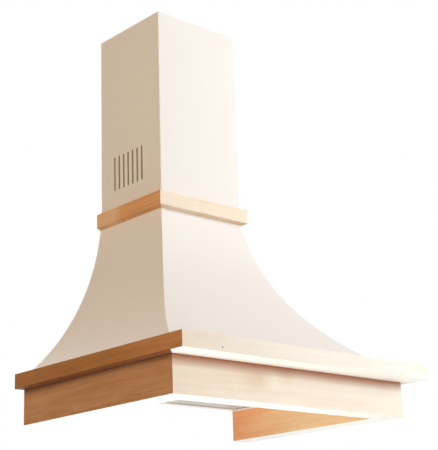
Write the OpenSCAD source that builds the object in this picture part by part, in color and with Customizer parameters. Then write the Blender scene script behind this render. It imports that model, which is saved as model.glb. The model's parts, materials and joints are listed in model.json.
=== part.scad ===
// Wall range hood with a flared steel dome, a sliding flue cover, wooden trim,
// a double-inlet blower, tilting mesh filters, lamps and push buttons.
// Millimetres, +Z up. The wall is the plane y = 0 and the cook stands at -Y.
// The origin is the middle of the upper pair of wall holes. Inside the modules
// heights count from the lower edge of the wooden apron, and hung() brings every
// piece down to the origin.

/* [Wooden trim] */
// Width over the cornice
hood_w = 700; // [660:2:760]
// Depth from the wall to the front edge of the cornice
hood_d = 559; // [540:1:600]
// Height of the cornice board
cornice_h = 32.5; // [26:0.5:40]
// Radius along the lower outer edge of the cornice
cornice_edge_r = 7; // [3:0.5:10]
// How far the cornice stands out past the apron at the sides
side_overhang = 24; // [16:1:34]
// How far the cornice stands out past the apron in front
front_overhang = 58.5; // [40:0.5:75]
// Height of the apron boards
apron_h = 77.5; // [60:0.5:110]
// Thickness of the apron boards
apron_t = 47; // [30:1:55]
// Bevel along the lower edges of the apron boards
apron_bevel = 1.5; // [0.5:0.25:3]
// Top of the apron left free inside the cornice for the tray to rest on
tray_ledge = 17; // [14:1:22]
// Thickness of the belt laths
belt_t = 10.5; // [8:0.5:16]
// Height of the belt laths
belt_h = 37.5; // [30:0.5:39]
// Height of the bevel under the belt
belt_bevel = 7.2; // [3:0.2:12]

/* [Dome] */
// Thickness of the folded steel sheet
sheet_t = 1.2; // [0.8:0.1:1.6]
// Thickness of the flat back sheet
back_t = 1.5; // [1.2:0.1:2.5]
// Height of the flared part of the dome
flare_h = 358; // [320:1:400]
// Height of the straight neck above the flare
neck_h = 39.5; // [39:0.5:60]
// Radius of the hollow curve of the two sides
side_r = 551; // [420:1:900]
// Radius of the hollow curve of the front
front_r = 448; // [380:1:800]
// Width of cornice top between its inner face and the foot of the side sheets
dome_side_step = 24.5; // [22:0.5:28]
// Width of cornice top between its inner face and the foot of the front sheet
dome_front_step = 22; // [20:0.5:26]

/* [Flue cover] */
// Width of the flue cover
cover_w = 237; // [232:1:260]
// Depth of the flue cover from the wall
cover_d = 223.5; // [221:0.5:245]
// Height of the flue cover
cover_h = 520; // [400:5:640]
// Length of cover that stays inside the neck when it is fully up
cover_lap = 76; // [40:1:90]
// Clearance between the cover and the inside of the neck
cover_gap = 1.6; // [0.6:0.1:2.5]
// Outer radius of the two folded front corners
cover_bend_r = 2.6; // [2.2:0.1:5]
// Width of the folds that face each other along the wall
cover_fold_w = 12; // [8:1:12]
// Number of air slots in each side of the cover
slot_count = 7; // [3:1:8]
// Width of an air slot
slot_w = 5.5; // [3:0.5:8]
// Height of an air slot
slot_h = 83.5; // [50:0.5:110]
// Distance from one air slot to the next
slot_pitch = 17; // [12:0.5:19]
// Distance from the wall to the first air slot
slot_first = 54; // [40:1:60]
// Height of the air slots above the neck when the cover is up
slot_rise = 47.5; // [20:0.5:80]

/* [Wall fixing] */
// Height of the upper wall holes over the apron's lower edge
hang_z = 450; // [420:5:455]
// Distance between the two upper wall holes
upper_spacing = 160; // [120:5:180]
// Height of the lower wall holes over the apron's lower edge
lower_hole_z = 135; // [125:1:150]
// Distance between the two lower wall holes
lower_spacing = 360; // [300:5:420]
// Radius of the wall holes in the back sheet
wall_hole_r = 4; // [3:0.25:5]
// Thickness of the wall bracket at the top of the cover
bracket_t = 2; // [1.5:0.25:3]
// Height of the wall bracket
bracket_h = 28; // [22:1:40]
// Depth of the wall bracket's two ears
bracket_ear = 34; // [26:1:45]
// Distance between the bracket's wall holes
bracket_spacing = 120; // [80:5:160]
// Radius of the bracket's wall holes
bracket_hole_r = 3; // [2:0.25:4]

/* [Tray and filters] */
// Height of the tray's upturned edges
tray_rim = 26; // [14:1:26]
// Width of tray left between an apron side board and the filter opening
filter_edge = 13; // [8:1:20]
// Depth of the tray strip in front of the filters, for the lamps and buttons
strip_d = 98.5; // [94:0.5:120]
// Distance from the wall to the filter openings
filter_back = 25; // [22:1:34]
// Width of the bar between the two filter openings
filter_bar = 12; // [8:1:24]
// Thickness of a filter
filter_h = 9; // [7:0.5:12]
// Width of the filter frame's side and rear rails
rail_w = 14; // [10:1:20]
// Width of the filter frame's front rail, which holds the latch
latch_rail_w = 24; // [22:1:32]
// Width of the lip under the edge of the mesh
lip_w = 4; // [2:0.5:6]
// Thickness of the mesh pack
mesh_t = 5; // [3:0.5:5.5]
// Width of one diamond of the mesh, centre to centre
diamond_w = 30; // [24:1:40]
// Depth of one diamond of the mesh, centre to centre
diamond_d = 20; // [16:1:30]
// Width of metal left between two diamonds
strand_w = 2.4; // [1.5:0.1:4]
// How far a latch slides back
latch_travel = 5; // [3:0.5:6]

/* [Lamps and buttons] */
// Distance from an apron side board to the middle of the lamp
lamp_edge = 89; // [45:1:110]
// Outer radius of a lamp ring
lamp_ring_r = 35; // [32:0.5:40]
// Radius of a lamp can
lamp_can_r = 30; // [26:0.5:31]
// Height of a lamp can above the tray
lamp_can_h = 38; // [30:1:60]
// Distance from one push button to the next
button_pitch = 26; // [23:0.5:30]
// Width of a push button
button_w = 19.4; // [15:0.2:20]
// Depth of a push button
button_d = 12.4; // [9:0.2:16]
// How far a button stands out of the bezel
button_proud = 4.5; // [3.5:0.5:7]
// How far a button travels when pressed
button_travel = 3; // [2:0.25:4]
// Thickness of the bezel round the buttons
bezel_t = 3; // [2:0.25:5]

/* [Blower] */
// Height of the impeller's axis over the apron's lower edge
blower_z = 225; // [215:1:235]
// Distance from the wall to the impeller's axis
blower_y = 108; // [104:1:110]
// Inner width of the volute
volute_w = 116; // [108:1:130]
// Radius of the volute's first quarter
volute_r = 80; // [79:0.5:83]
// Growth of the volute's radius from one quarter to the next
volute_step = 9; // [6:0.5:10]
// Thickness of the volute's sheet
volute_t = 1.2; // [0.8:0.1:1.5]
// Radius of the bell-mouth inlets where they are narrowest
inlet_r = 56; // [54:0.5:58]
// Rolled radius of the bell-mouth inlets
bell_r = 6; // [4:0.5:6.5]
// Outer radius of the impeller
impeller_r = 72; // [68:0.5:74]
// Number of impeller blades
blade_count = 36; // [24:1:40]
// Depth of a blade from its outer to its inner edge
blade_depth = 11; // [8:0.5:13]
// Radius of the motor
motor_r = 36; // [32:0.5:40]
// Length of the motor
motor_len = 80; // [60:1:84]
// Radius of the motor shaft
shaft_r = 4; // [3:0.25:5]
// Outer radius of the outlet collar
collar_r = 60; // [58:0.25:60]
// Height of the outlet collar
collar_h = 44; // [40:1:50]
// Radius of the cord that the gland takes
cord_r = 3.6; // [3:0.1:4.5]

/* [Hidden] */

// Colours
paint = [0.94, 0.90, 0.84];
beech = [0.86, 0.67, 0.46];
zinc = [0.72, 0.74, 0.75];
bright_steel = [0.80, 0.80, 0.81];
dark_plastic = [0.16, 0.16, 0.17];

// Clearances
seat_gap = 0.3;      // pieces that rest on each other but part when something moves
slide_gap = 0.8;     // filter edge to the edge of its opening
shaft_gap = 0.05;    // shaft in its bearing
pin_gap = 0.1;       // damper leaf on its pin
screw_gap = 0.1;     // screw in its hole
swing_gap = 3;       // rear edge of a filter to the edge of its opening
through = 1;         // extra length of every cut

// Heights
cornice_z = apron_h;
flare_z = cornice_z + cornice_h;
neck_z = flare_z + flare_h;
dome_top = neck_z + neck_h;
cover_z = dome_top - cover_lap;
cover_top = cover_z + cover_h;
tray_top = apron_h + sheet_t;

// Half widths and depths of the trim, from the outside in
apron_half = hood_w / 2 - side_overhang;
apron_depth = hood_d - front_overhang;
inner_half = apron_half - apron_t;
inner_depth = apron_depth - apron_t;
tray_half = inner_half + tray_ledge;
tray_depth = inner_depth + tray_ledge;
cornice_side = hood_w / 2 - tray_half;
cornice_front_w = hood_d - tray_depth;

// Dome: foot and neck of the two hollow curves, and their centres
base_half = tray_half + dome_side_step;
base_depth = tray_depth + dome_front_step;
neck_half = cover_w / 2 + cover_gap + sheet_t;
neck_depth = cover_d + cover_gap + sheet_t;
side_c = flare_centre([neck_half, neck_z], [base_half, flare_z], side_r);
front_c = flare_centre([neck_depth, neck_z], [base_depth, flare_z], front_r);
flange_back = 1;
neck_lap = 0.5;

// Small forms along the boards and laths
belt_lip = 1.5;
belt_round = 0.8;
cornice_top_r = 2;

// Screws
head_r = 3;
head_h = 1.6;
head_straight = 1;
head_crown_r = 1.8;
head_play = 0.5;
wood_screw_r = 1.5;
wood_screw_len = 16;
sheet_head_r = 3.6;
sheet_screw_r = 2;
tip_gap = 0.2;
side_screws = 4;
front_screws = 4;
screw_end = 50;
screw_corner = 60;
head_clear_z = flare_z + sheet_t + head_h + head_play;
dome_screw_x = flank_at(side_c, side_r, head_clear_z, sheet_t) - head_r - head_play;
dome_screw_y = flank_at(front_c, front_r, head_clear_z, sheet_t) - head_r - head_play;
tray_screw_x = inner_half + tray_ledge / 2;
tray_screw_y = inner_depth + tray_ledge / 2;

// Flue cover and its bracket
cover_back = back_t + seat_gap;
bracket_half = cover_w / 2 - sheet_t - seat_gap;
bracket_drop = 2;
bracket_z = cover_top - bracket_drop - bracket_h;
ear_edge = 10;
cover_screw_y = bracket_ear - ear_edge;
fold_clear = 6;
cover_screw_z = bracket_z + bracket_h / 2;

// Filters: middle of each opening, and the front edge of the openings
filter_open_w = inner_half - filter_edge - filter_bar / 2;
filter_open_d = inner_depth - strip_d - filter_back;
filter_x = filter_bar / 2 + filter_open_w / 2;
filter_front = filter_back + filter_open_d;
filter_half = filter_open_w / 2 - slide_gap;
filter_y0 = filter_back + swing_gap;
filter_y1 = filter_front - slide_gap;
filter_z = tray_top - filter_h;
lip_t = 1.2;
tab_t = 1;
tab_w = 40;
tab_lap = 8;
tab_inset = 4;
tab_x = filter_half / 2;
latch_back = 5;
latch_y = filter_y1 - latch_back;
latch_stem_w = 13;
latch_stem_d = 6;

// Front strip of the tray, between the filters and the apron
strip_y = inner_depth - strip_d / 2;
lamp_x = inner_half - lamp_edge;
button_count = 5;
bezel_end = 13;
bezel_side = 11;
button_play = 1;
button_gap = 0.3;
bezel_corner_r = 5;
flange_w = 1;
flange_t = 1;
bezel_w = button_pitch * (button_count - 1) + button_w + 2 * bezel_end;
bezel_d = button_d + 2 * bezel_side;
button_slot_w = button_pitch * (button_count - 1) + button_w + 2 * (flange_w + button_play);
button_slot_d = button_d + 2 * (flange_w + button_play);
switch_h = 22;
terminal_h = 8;
terminal_gap = 10;
ring_t = 3.5;
ring_lip = 4;
ring_lip_t = 1.2;
ring_bevel = 1.5;
lens_t = 2;
lens_gap = 0.2;
can_t = 0.8;

// Blower
side_plate_x = volute_w / 2;
plate_rim = 3;
cutoff_drop = 62.5;
outlet_rise = 25;
throat_back = volute_r - cutoff_drop;
throat_front = volute_r + 2 * volute_step + volute_step / 2;
outlet_z = volute_r + outlet_rise;
collar_y = (throat_back - throat_front) / 2;
collar_t = 1.2;
foot_w = 16;
foot_z = 70;
foot_back = blower_y - back_t;
foot_screw_x = side_plate_x + volute_t + foot_w / 2;
foot_screw_z = 50;
pin_r = 1.5;
pin_rise = 2;
pin_z = outlet_z + volute_t + collar_h / 2 + pin_rise;
leaf_t = 0.8;
leaf_rim = 1;
leaf_r = collar_r - collar_t - leaf_rim;
leaf_play = 0.6;
knuckle_t = 1.2;
knuckle_r = pin_r + pin_gap + knuckle_t;
knuckle_w = 20;
knuckle_pitch = 24;
motor_out = 34;
motor_x = side_plate_x + volute_t + motor_out;
blade_inset = 1;
blade_t = 0.9;
blade_sweep = 11;
disc_x = 4;
disc_t = 2;
hub_r = 10;
hub_back = 8;
hub_len = 26;
shaft_tail = 6;
shaft_end = disc_x - hub_back + hub_len;
cage_gap = 2;
cage_half = side_plate_x + volute_t - bell_r - cage_gap;
cage_ring_t = 2;
cage_ring_lap = 2;
box_y0 = 56;
box_w = 42;
box_z = 30;
box_h = 48;
box_d = 30;
lid_t = 2;
gland_h = 22;
gland_thread_r = 7;
gland_thread_h = 6;
capacitor_r = 13;
capacitor_h = 46;

// Centre of the arc of radius r through top and foot, on the side away from the hood
function flare_centre(top, foot, r) =
    let (d = foot - top, l = norm(d))
    (top + foot) / 2 + sqrt(r * r - l * l / 4) / l * [-d[1], d[0]];

// Distance of a hollow face from the middle plane or the wall at height z
function flank_at(c, r, z, inset) = c[0] - sqrt(pow(r + inset, 2) - pow(c[1] - z, 2));

function arc_points(c, r, from, to, steps) =
    [for (i = [0:steps]) c + r * [cos(from + (to - from) * i / steps), sin(from + (to - from) * i / steps)]];

module hung() {
    translate([0, 0, -hang_z])
        children();
}

// The same shape on the right, or mirrored on the left
module sided(side) {
    if (side > 0)
        children();
    else
        mirror([1, 0, 0])
            children();
}

module rod_x(x, y, z, r, len) {
    translate([x, y, z])
        rotate([0, 90, 0])
            cylinder(r = r, h = len, $fn = 48);
}

// A rod that runs from y towards the cook
module rod_y(x, y, z, r, len) {
    translate([x, y, z])
        rotate([90, 0, 0])
            cylinder(r = r, h = len, $fn = 48);
}

module rod_z(x, y, z, r, len) {
    translate([x, y, z])
        cylinder(r = r, h = len, $fn = 48);
}

// A plate with rounded corners, centred on x and y
module rounded_plate(x, y, z, w, d, h, r) {
    translate([x - w / 2 + r, y - d / 2, z])
        cube([w - 2 * r, d, h]);
    translate([x - w / 2, y - d / 2 + r, z])
        cube([w, d - 2 * r, h]);
    for (sx = [-1, 1], sy = [-1, 1])
        rod_z(x + sx * (w / 2 - r), y + sy * (d / 2 - r), z, r, h);
}

// Three runs of board or lath round the front and sides, mitred at the front
// corners. half and depth are the inner faces, side_w and front_w the widths,
// and a profile is a list of [distance from the inner face, height].
module front_run(half, depth, side_w, front_w, z, h, profile) {
    reach = half + side_w;
    outer = depth + front_w;
    inner_step = front_w > side_w ? [[half, -depth]] : [];
    inner_back = front_w > side_w ? [[-half, -depth]] : [];
    mitre_y = -(outer - side_w);
    translate([0, 0, z])
        intersection() {
            translate([-reach, 0, 0])
                rotate([90, 0, 90])
                    linear_extrude(2 * reach)
                        polygon([for (p = profile) [-depth - p[0], p[1]]]);
            linear_extrude(h)
                polygon(concat([[-reach, -outer], [reach, -outer], [half, mitre_y]],
                    inner_step, inner_back, [[-half, mitre_y]]));
        }
}

module side_run(side, half, depth, side_w, front_w, z, h, profile) {
    outer = depth + front_w;
    sided(side)
        translate([0, 0, z])
            intersection() {
                rotate([90, 0, 0])
                    linear_extrude(outer)
                        polygon([for (p = profile) [half + p[0], p[1]]]);
                linear_extrude(h)
                    polygon([[half, 0], [half + side_w, 0],
                        [half + side_w, -outer], [half, -(outer - side_w)]]);
            }
}

function belt_profile() = [[0, 0], [belt_lip, 0], [belt_t, belt_bevel],
    [belt_t, belt_h - belt_round], [belt_t - belt_round, belt_h], [0, belt_h]];

function cornice_profile(w) = concat([[0, 0]],
    arc_points([w - cornice_edge_r, cornice_edge_r], cornice_edge_r, -90, 0, 6),
    arc_points([w - cornice_top_r, cornice_h - cornice_top_r], cornice_top_r, 0, 90, 3),
    [[0, cornice_h]]);

function apron_profile() = [[apron_bevel, 0], [apron_t - apron_bevel, 0],
    [apron_t, apron_bevel], [apron_t, apron_h], [0, apron_h], [0, apron_bevel]];

module belt_side(side) {
    color(beech)
        hung()
            side_run(side, neck_half, neck_depth, belt_t, belt_t, dome_top - belt_h, belt_h, belt_profile());
}

module belt_left() {
    belt_side(-1);
}

module belt_right() {
    belt_side(1);
}

module belt_front() {
    color(beech)
        hung()
            front_run(neck_half, neck_depth, belt_t, belt_t, dome_top - belt_h, belt_h, belt_profile());
}

// Pilot holes for the screws that hold the dome's foot to the cornice
module dome_screw_holes(r, z, h) {
    for (side = [-1, 1], i = [0:side_screws - 1])
        rod_z(side * dome_screw_x, -dome_side_screw_y(i), z, r, h);
    for (i = [0:front_screws - 1])
        rod_z(dome_front_screw_x(i), -dome_screw_y, z, r, h);
}

function dome_side_screw_y(i) =
    screw_end + i * (dome_screw_y - screw_end - screw_corner) / (side_screws - 1);
function dome_front_screw_x(i) = (2 * i / (front_screws - 1) - 1) * (dome_screw_x - screw_corner);

module cornice_side_board(side) {
    color(beech)
        hung()
            difference() {
                side_run(side, tray_half, tray_depth, cornice_side, cornice_front_w,
                    cornice_z, cornice_h, cornice_profile(cornice_side));
                dome_screw_holes(wood_screw_r + screw_gap, flare_z - wood_screw_len, wood_screw_len + through);
            }
}

module cornice_left() {
    cornice_side_board(-1);
}

module cornice_right() {
    cornice_side_board(1);
}

module cornice_front() {
    color(beech)
        hung()
            difference() {
                front_run(tray_half, tray_depth, cornice_side, cornice_front_w,
                    cornice_z, cornice_h, cornice_profile(cornice_front_w));
                dome_screw_holes(wood_screw_r + screw_gap, flare_z - wood_screw_len, wood_screw_len + through);
            }
}

function tray_side_screw_y(i) = screw_end + i * (tray_screw_y - screw_end - screw_corner) / 2;
function tray_front_screw_x(i) = (i - 1) * (tray_screw_x - screw_corner);

module tray_screw_holes(r, z, h) {
    for (side = [-1, 1], i = [0:2])
        rod_z(side * tray_screw_x, -tray_side_screw_y(i), z, r, h);
    for (i = [0:2])
        rod_z(tray_front_screw_x(i), -tray_screw_y, z, r, h);
}

module apron_side_board(side) {
    color(beech)
        hung()
            difference() {
                side_run(side, inner_half, inner_depth, apron_t, apron_t, 0, apron_h, apron_profile());
                tray_screw_holes(wood_screw_r + screw_gap, apron_h - wood_screw_len, wood_screw_len + through);
            }
}

module apron_left() {
    apron_side_board(-1);
}

module apron_right() {
    apron_side_board(1);
}

module apron_front() {
    color(beech)
        hung()
            difference() {
                front_run(inner_half, inner_depth, apron_t, apron_t, 0, apron_h, apron_profile());
                tray_screw_holes(wood_screw_r + screw_gap, apron_h - wood_screw_len, wood_screw_len + through);
            }
}

// Everything outside the right flank, when that flank is drawn in by inset. The
// straight neck starts a little below the end of the curve, so the two overlap.
module right_outside(inset) {
    reach = base_depth + 2 * through;
    intersection() {
        rod_big_y(side_c[0], side_c[1], side_r + inset, reach);
        translate([0, -reach, flare_z - through])
            cube([2 * base_half, reach + through, flare_h + through - neck_lap / 2]);
    }
    translate([flank_at(side_c, side_r, neck_z, inset), -reach, neck_z - neck_lap])
        cube([base_half, reach + through, neck_h + neck_lap + through]);
}

// Everything in front of the front face, when that face is drawn in by inset
module front_outside(inset) {
    reach = base_half + 2 * through;
    intersection() {
        translate([-reach, -front_c[0], front_c[1]])
            rotate([0, 90, 0])
                cylinder(r = front_r + inset, h = 2 * reach, $fn = 180);
        translate([-reach, -2 * base_depth, flare_z - through])
            cube([2 * reach, 2 * base_depth, flare_h + through - neck_lap / 2]);
    }
    translate([-reach, -2 * base_depth, neck_z - neck_lap])
        cube([2 * reach, 2 * base_depth - flank_at(front_c, front_r, neck_z, inset),
            neck_h + neck_lap + through]);
}

// A wide rod that runs from just behind the wall plane towards the cook
module rod_big_y(x, z, r, len) {
    translate([x, through, z])
        rotate([90, 0, 0])
            cylinder(r = r, h = len + through, $fn = 180);
}

// The blocks reach past the foot, so that the curved cuts alone shape its edge
module dome_block() {
    translate([-base_half - through, -base_depth - through, flare_z])
        cube([2 * (base_half + through), base_depth + through, flare_h + neck_h]);
}

module dome_front_panel() {
    color(paint)
        hung()
            difference() {
                union() {
                    intersection() {
                        dome_block();
                        front_outside(sheet_t);
                    }
                    translate([-base_half - through, -base_depth - through, flare_z])
                        cube([2 * (base_half + through), dome_front_step - flange_back + through, sheet_t]);
                }
                front_outside(0);
                right_outside(0);
                mirror([1, 0, 0])
                    right_outside(0);
                dome_screw_holes(wood_screw_r + screw_gap, flare_z - through, sheet_t + 2 * through);
            }
}

// A side sheet butts against the inside of the front sheet, stands on the front
// sheet's foot, and ends at the face of the back sheet.
module dome_side_panel(side) {
    color(paint)
        hung()
            sided(side)
                difference() {
                    union() {
                        intersection() {
                            dome_block();
                            right_outside(sheet_t);
                        }
                        translate([tray_half + flange_back, -base_depth, flare_z])
                            cube([dome_side_step - flange_back + through, base_depth, sheet_t]);
                    }
                    right_outside(0);
                    front_outside(sheet_t);
                    translate([0, -back_t, flare_z - through])
                        cube([base_half + 2 * through, back_t + through, flare_h + neck_h + 2 * through]);
                    translate([0, -base_depth - through, flare_z - through])
                        cube([base_half + 2 * through, dome_front_step - flange_back + through,
                            sheet_t + through]);
                    dome_screw_holes(wood_screw_r + screw_gap, flare_z - through, sheet_t + 2 * through);
                }
}

module dome_left_panel() {
    dome_side_panel(-1);
}

module dome_right_panel() {
    dome_side_panel(1);
}

// Flat back sheet with a tail that closes the space behind the tray
module dome_back_panel() {
    tail_half = tray_half - seat_gap;
    tail_z = tray_top + seat_gap;
    color(paint)
        hung()
            difference() {
                union() {
                    translate([-base_half - through, -back_t, flare_z])
                        cube([2 * (base_half + through), back_t, flare_h + neck_h]);
                    translate([-tail_half, -back_t, tail_z])
                        cube([2 * tail_half, back_t, flare_z - tail_z]);
                }
                right_outside(0);
                mirror([1, 0, 0])
                    right_outside(0);
                for (side = [-1, 1]) {
                    rod_y(side * upper_spacing / 2, through, hang_z, wall_hole_r, back_t + 2 * through);
                    rod_y(side * lower_spacing / 2, through, lower_hole_z, wall_hole_r, back_t + 2 * through);
                    for (up = [-1, 1])
                        rod_y(side * foot_screw_x, through, blower_z + up * foot_screw_z,
                            sheet_screw_r + screw_gap, back_t + 2 * through);
                }
            }
}

// Pan-head screw that points down from z
module down_screw(x, y, z, r, len) {
    rod_z(x, y, z, head_r, head_straight);
    translate([x, y, z + head_straight])
        cylinder(r1 = head_r, r2 = head_crown_r, h = head_h - head_straight, $fn = 48);
    rod_z(x, y, z - len, r, len);
}

module dome_screws() {
    color(bright_steel)
        hung() {
            for (side = [-1, 1], i = [0:side_screws - 1])
                down_screw(side * dome_screw_x, -dome_side_screw_y(i), flare_z + sheet_t,
                    wood_screw_r, wood_screw_len);
            for (i = [0:front_screws - 1])
                down_screw(dome_front_screw_x(i), -dome_screw_y, flare_z + sheet_t,
                    wood_screw_r, wood_screw_len);
        }
}

module tray_screws() {
    color(bright_steel)
        hung() {
            for (side = [-1, 1], i = [0:2])
                down_screw(side * tray_screw_x, -tray_side_screw_y(i), tray_top, wood_screw_r, wood_screw_len);
            for (i = [0:2])
                down_screw(tray_front_screw_x(i), -tray_screw_y, tray_top, wood_screw_r, wood_screw_len);
        }
}

// Folded tray: a flat floor with turned-up edges inside the cornice
module base_tray() {
    half = tray_half - seat_gap;
    depth = tray_depth - seat_gap;
    back = back_t + seat_gap;
    color(bright_steel)
        hung()
            difference() {
                translate([-half, -depth, apron_h])
                    cube([2 * half, depth - back, sheet_t + tray_rim]);
                translate([-half + sheet_t, -depth + sheet_t, tray_top])
                    cube([2 * (half - sheet_t), depth - back - 2 * sheet_t, tray_rim + through]);
                for (side = [-1, 1]) {
                    translate([side * filter_x - filter_open_w / 2, -filter_front, apron_h - through])
                        cube([filter_open_w, filter_open_d, sheet_t + 2 * through]);
                    rod_z(side * lamp_x, -strip_y, apron_h - through, lamp_can_r + seat_gap,
                        sheet_t + 2 * through);
                }
                translate([-button_slot_w / 2, -strip_y - button_slot_d / 2, apron_h - through])
                    cube([button_slot_w, button_slot_d, sheet_t + 2 * through]);
                tray_screw_holes(wood_screw_r + screw_gap, apron_h - through, sheet_t + 2 * through);
            }
}

// Extruded frame that tilts on two tabs hooked over the rear edge of its opening
module filter_frame(side) {
    len = filter_y1 - filter_y0;
    mesh_y = filter_y1 - latch_rail_w;
    color(zinc)
        hung()
            translate([side * filter_x, 0, 0])
                difference() {
                    union() {
                        translate([-filter_half, -filter_y1, filter_z])
                            cube([2 * filter_half, len, filter_h]);
                        for (s = [-1, 1])
                            translate([s * tab_x - tab_w / 2, 0, tray_top]) {
                                translate([0, -filter_y0 - rail_w + tab_inset, 0])
                                    cube([tab_w, rail_w - tab_inset, seat_gap + tab_t]);
                                translate([0, -filter_y0, seat_gap])
                                    cube([tab_w, swing_gap + tab_lap, tab_t]);
                            }
                    }
                    translate([-filter_half + rail_w, -mesh_y, filter_z + lip_t])
                        cube([2 * (filter_half - rail_w), mesh_y - filter_y0 - rail_w, filter_h]);
                    translate([-filter_half + rail_w + lip_w, -mesh_y + lip_w, filter_z - through])
                        cube([2 * (filter_half - rail_w - lip_w), mesh_y - filter_y0 - rail_w - 2 * lip_w,
                            filter_h]);
                    translate([-latch_stem_w / 2 - seat_gap, -latch_y - seat_gap, filter_z - through])
                        cube([latch_stem_w + 2 * seat_gap, latch_stem_d + latch_travel + 2 * seat_gap,
                            filter_h + 2 * through]);
                }
}

module diamond(x, y) {
    translate([x, y])
        polygon([[diamond_w / 2 - strand_w, 0], [0, diamond_d / 2 - strand_w],
            [strand_w - diamond_w / 2, 0], [0, strand_w - diamond_d / 2]]);
}

// Expanded-metal pack, open in staggered rows of diamonds
module filter_mesh(side) {
    w = 2 * (filter_half - rail_w);
    d = filter_y1 - latch_rail_w - filter_y0 - rail_w;
    columns = floor((w - 2 * lip_w) / diamond_w);
    rows = floor((d - 2 * lip_w) / diamond_d);
    color(zinc)
        hung()
            translate([side * filter_x, -filter_y0 - rail_w - d / 2, filter_z + lip_t])
                linear_extrude(mesh_t)
                    difference() {
                        square([w, d], center = true);
                        for (i = [0:columns - 1], j = [0:rows - 1])
                            diamond((i - (columns - 1) / 2) * diamond_w, (j - (rows - 1) / 2) * diamond_d);
                        for (i = [0:columns - 2], j = [0:rows - 2])
                            diamond((i - (columns - 2) / 2) * diamond_w, (j - (rows - 2) / 2) * diamond_d);
                    }
}

// Latch: a thumb pad under the front rail, a stem through it and a tongue on top
module filter_latch(side) {
    pad_d = 14;
    pad_t = 3;
    pad_w = 34;
    pad_corner_r = 3;
    groove_r = 0.8;
    groove_pitch = 4;
    tongue_w = 26;
    tongue_t = 1.2;
    tongue_lap = 2;
    tongue_reach = slide_gap - 2 * seat_gap / 3;
    pad_z = filter_z - seat_gap - pad_t;
    color(dark_plastic)
        hung()
            translate([side * filter_x, -latch_y, 0])
                difference() {
                    union() {
                        rounded_plate(0, latch_stem_d / 2, pad_z, pad_w, pad_d, pad_t, pad_corner_r);
                        translate([-latch_stem_w / 2, 0, pad_z])
                            cube([latch_stem_w, latch_stem_d, pad_t + filter_h + 2 * seat_gap]);
                        translate([-tongue_w / 2, -latch_back - tongue_reach, tray_top + seat_gap])
                            cube([tongue_w, latch_back + tongue_reach + latch_stem_d + tongue_lap, tongue_t]);
                    }
                    for (i = [-1:1])
                        translate([-pad_w / 2 - through, latch_stem_d / 2 + i * groove_pitch, pad_z])
                            rotate([0, 90, 0])
                                cylinder(r = groove_r, h = pad_w + 2 * through, $fn = 24);
                }
}

module filter_left_frame() {
    filter_frame(-1);
}

module filter_left_mesh() {
    filter_mesh(-1);
}

module latch_left() {
    filter_latch(-1);
}

module filter_right_frame() {
    filter_frame(1);
}

module filter_right_mesh() {
    filter_mesh(1);
}

module latch_right() {
    filter_latch(1);
}

// Bezel under the tray, with one guide hole for each button
module control_bezel() {
    color(dark_plastic)
        hung()
            difference() {
                rounded_plate(0, -strip_y, apron_h - bezel_t, bezel_w, bezel_d, bezel_t, bezel_corner_r);
                for (i = [0:button_count - 1])
                    translate([button_x(i) - button_w / 2 - button_gap, -strip_y - button_d / 2 - button_gap,
                        apron_h - bezel_t - through])
                        cube([button_w + 2 * button_gap, button_d + 2 * button_gap, bezel_t + 2 * through]);
            }
}

function button_x(i) = (i - (button_count - 1) / 2) * button_pitch;

// Moulded push button: a cap with a finger hollow, a keeper flange and a plunger
module push_button(i) {
    cap_z = apron_h - bezel_t - button_proud;
    flange_z = apron_h + seat_gap;
    corner_r = 1.5;
    plunger_r = 2.5;
    plunger_h = 1.5;
    dish_r = 16;
    dish_depth = 0.8;
    color(bright_steel)
        hung()
            translate([button_x(i), -strip_y, 0])
                difference() {
                    union() {
                        rounded_plate(0, 0, cap_z, button_w, button_d, flange_z - cap_z, corner_r);
                        translate([-button_w / 2 - flange_w, -button_d / 2 - flange_w, flange_z])
                            cube([button_w + 2 * flange_w, button_d + 2 * flange_w, flange_t]);
                        rod_z(0, 0, flange_z + flange_t, plunger_r, plunger_h);
                    }
                    translate([-button_w, 0, cap_z - dish_r + dish_depth])
                        rotate([0, 90, 0])
                            cylinder(r = dish_r, h = 2 * button_w, $fn = 96);
                }
}

module button_1() {
    push_button(0);
}

module button_2() {
    push_button(1);
}

module button_3() {
    push_button(2);
}

module button_4() {
    push_button(3);
}

module button_5() {
    push_button(4);
}

// A pair of flat push-on terminals, gap apart, that stand on z
module terminal_pair(x, y, z, gap) {
    w = 4.8;
    t = 0.8;
    for (s = [-1, 1])
        translate([x - w / 2, y + s * gap / 2 - t / 2, z])
            cube([w, t, terminal_h]);
}

// Switch block on the tray, hollow below for the buttons' flanges
module switch_block() {
    hollow = button_travel + flange_t + 3;
    wall = 3;
    color(dark_plastic)
        hung()
            difference() {
                union() {
                    translate([-button_slot_w / 2 - wall, -strip_y - button_slot_d / 2 - wall, tray_top])
                        cube([button_slot_w + 2 * wall, button_slot_d + 2 * wall, switch_h]);
                    for (i = [0:button_count - 1])
                        terminal_pair(button_x(i), -strip_y, tray_top + switch_h, terminal_gap);
                }
                translate([-button_slot_w / 2, -strip_y - button_slot_d / 2, tray_top - through])
                    cube([button_slot_w, button_slot_d, hollow + through]);
            }
}

// Lamp ring: a flat bead under the tray with a lip that carries the lens
module lamp_ring(side) {
    color(bright_steel)
        hung()
            translate([side * lamp_x, -strip_y, apron_h - ring_t])
                rotate_extrude($fn = 96)
                    polygon([[lamp_can_r - ring_lip, 0], [lamp_ring_r - ring_bevel, 0],
                        [lamp_ring_r, ring_bevel], [lamp_ring_r, ring_t], [lamp_can_r, ring_t],
                        [lamp_can_r, ring_lip_t], [lamp_can_r - ring_lip, ring_lip_t]]);
}

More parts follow.
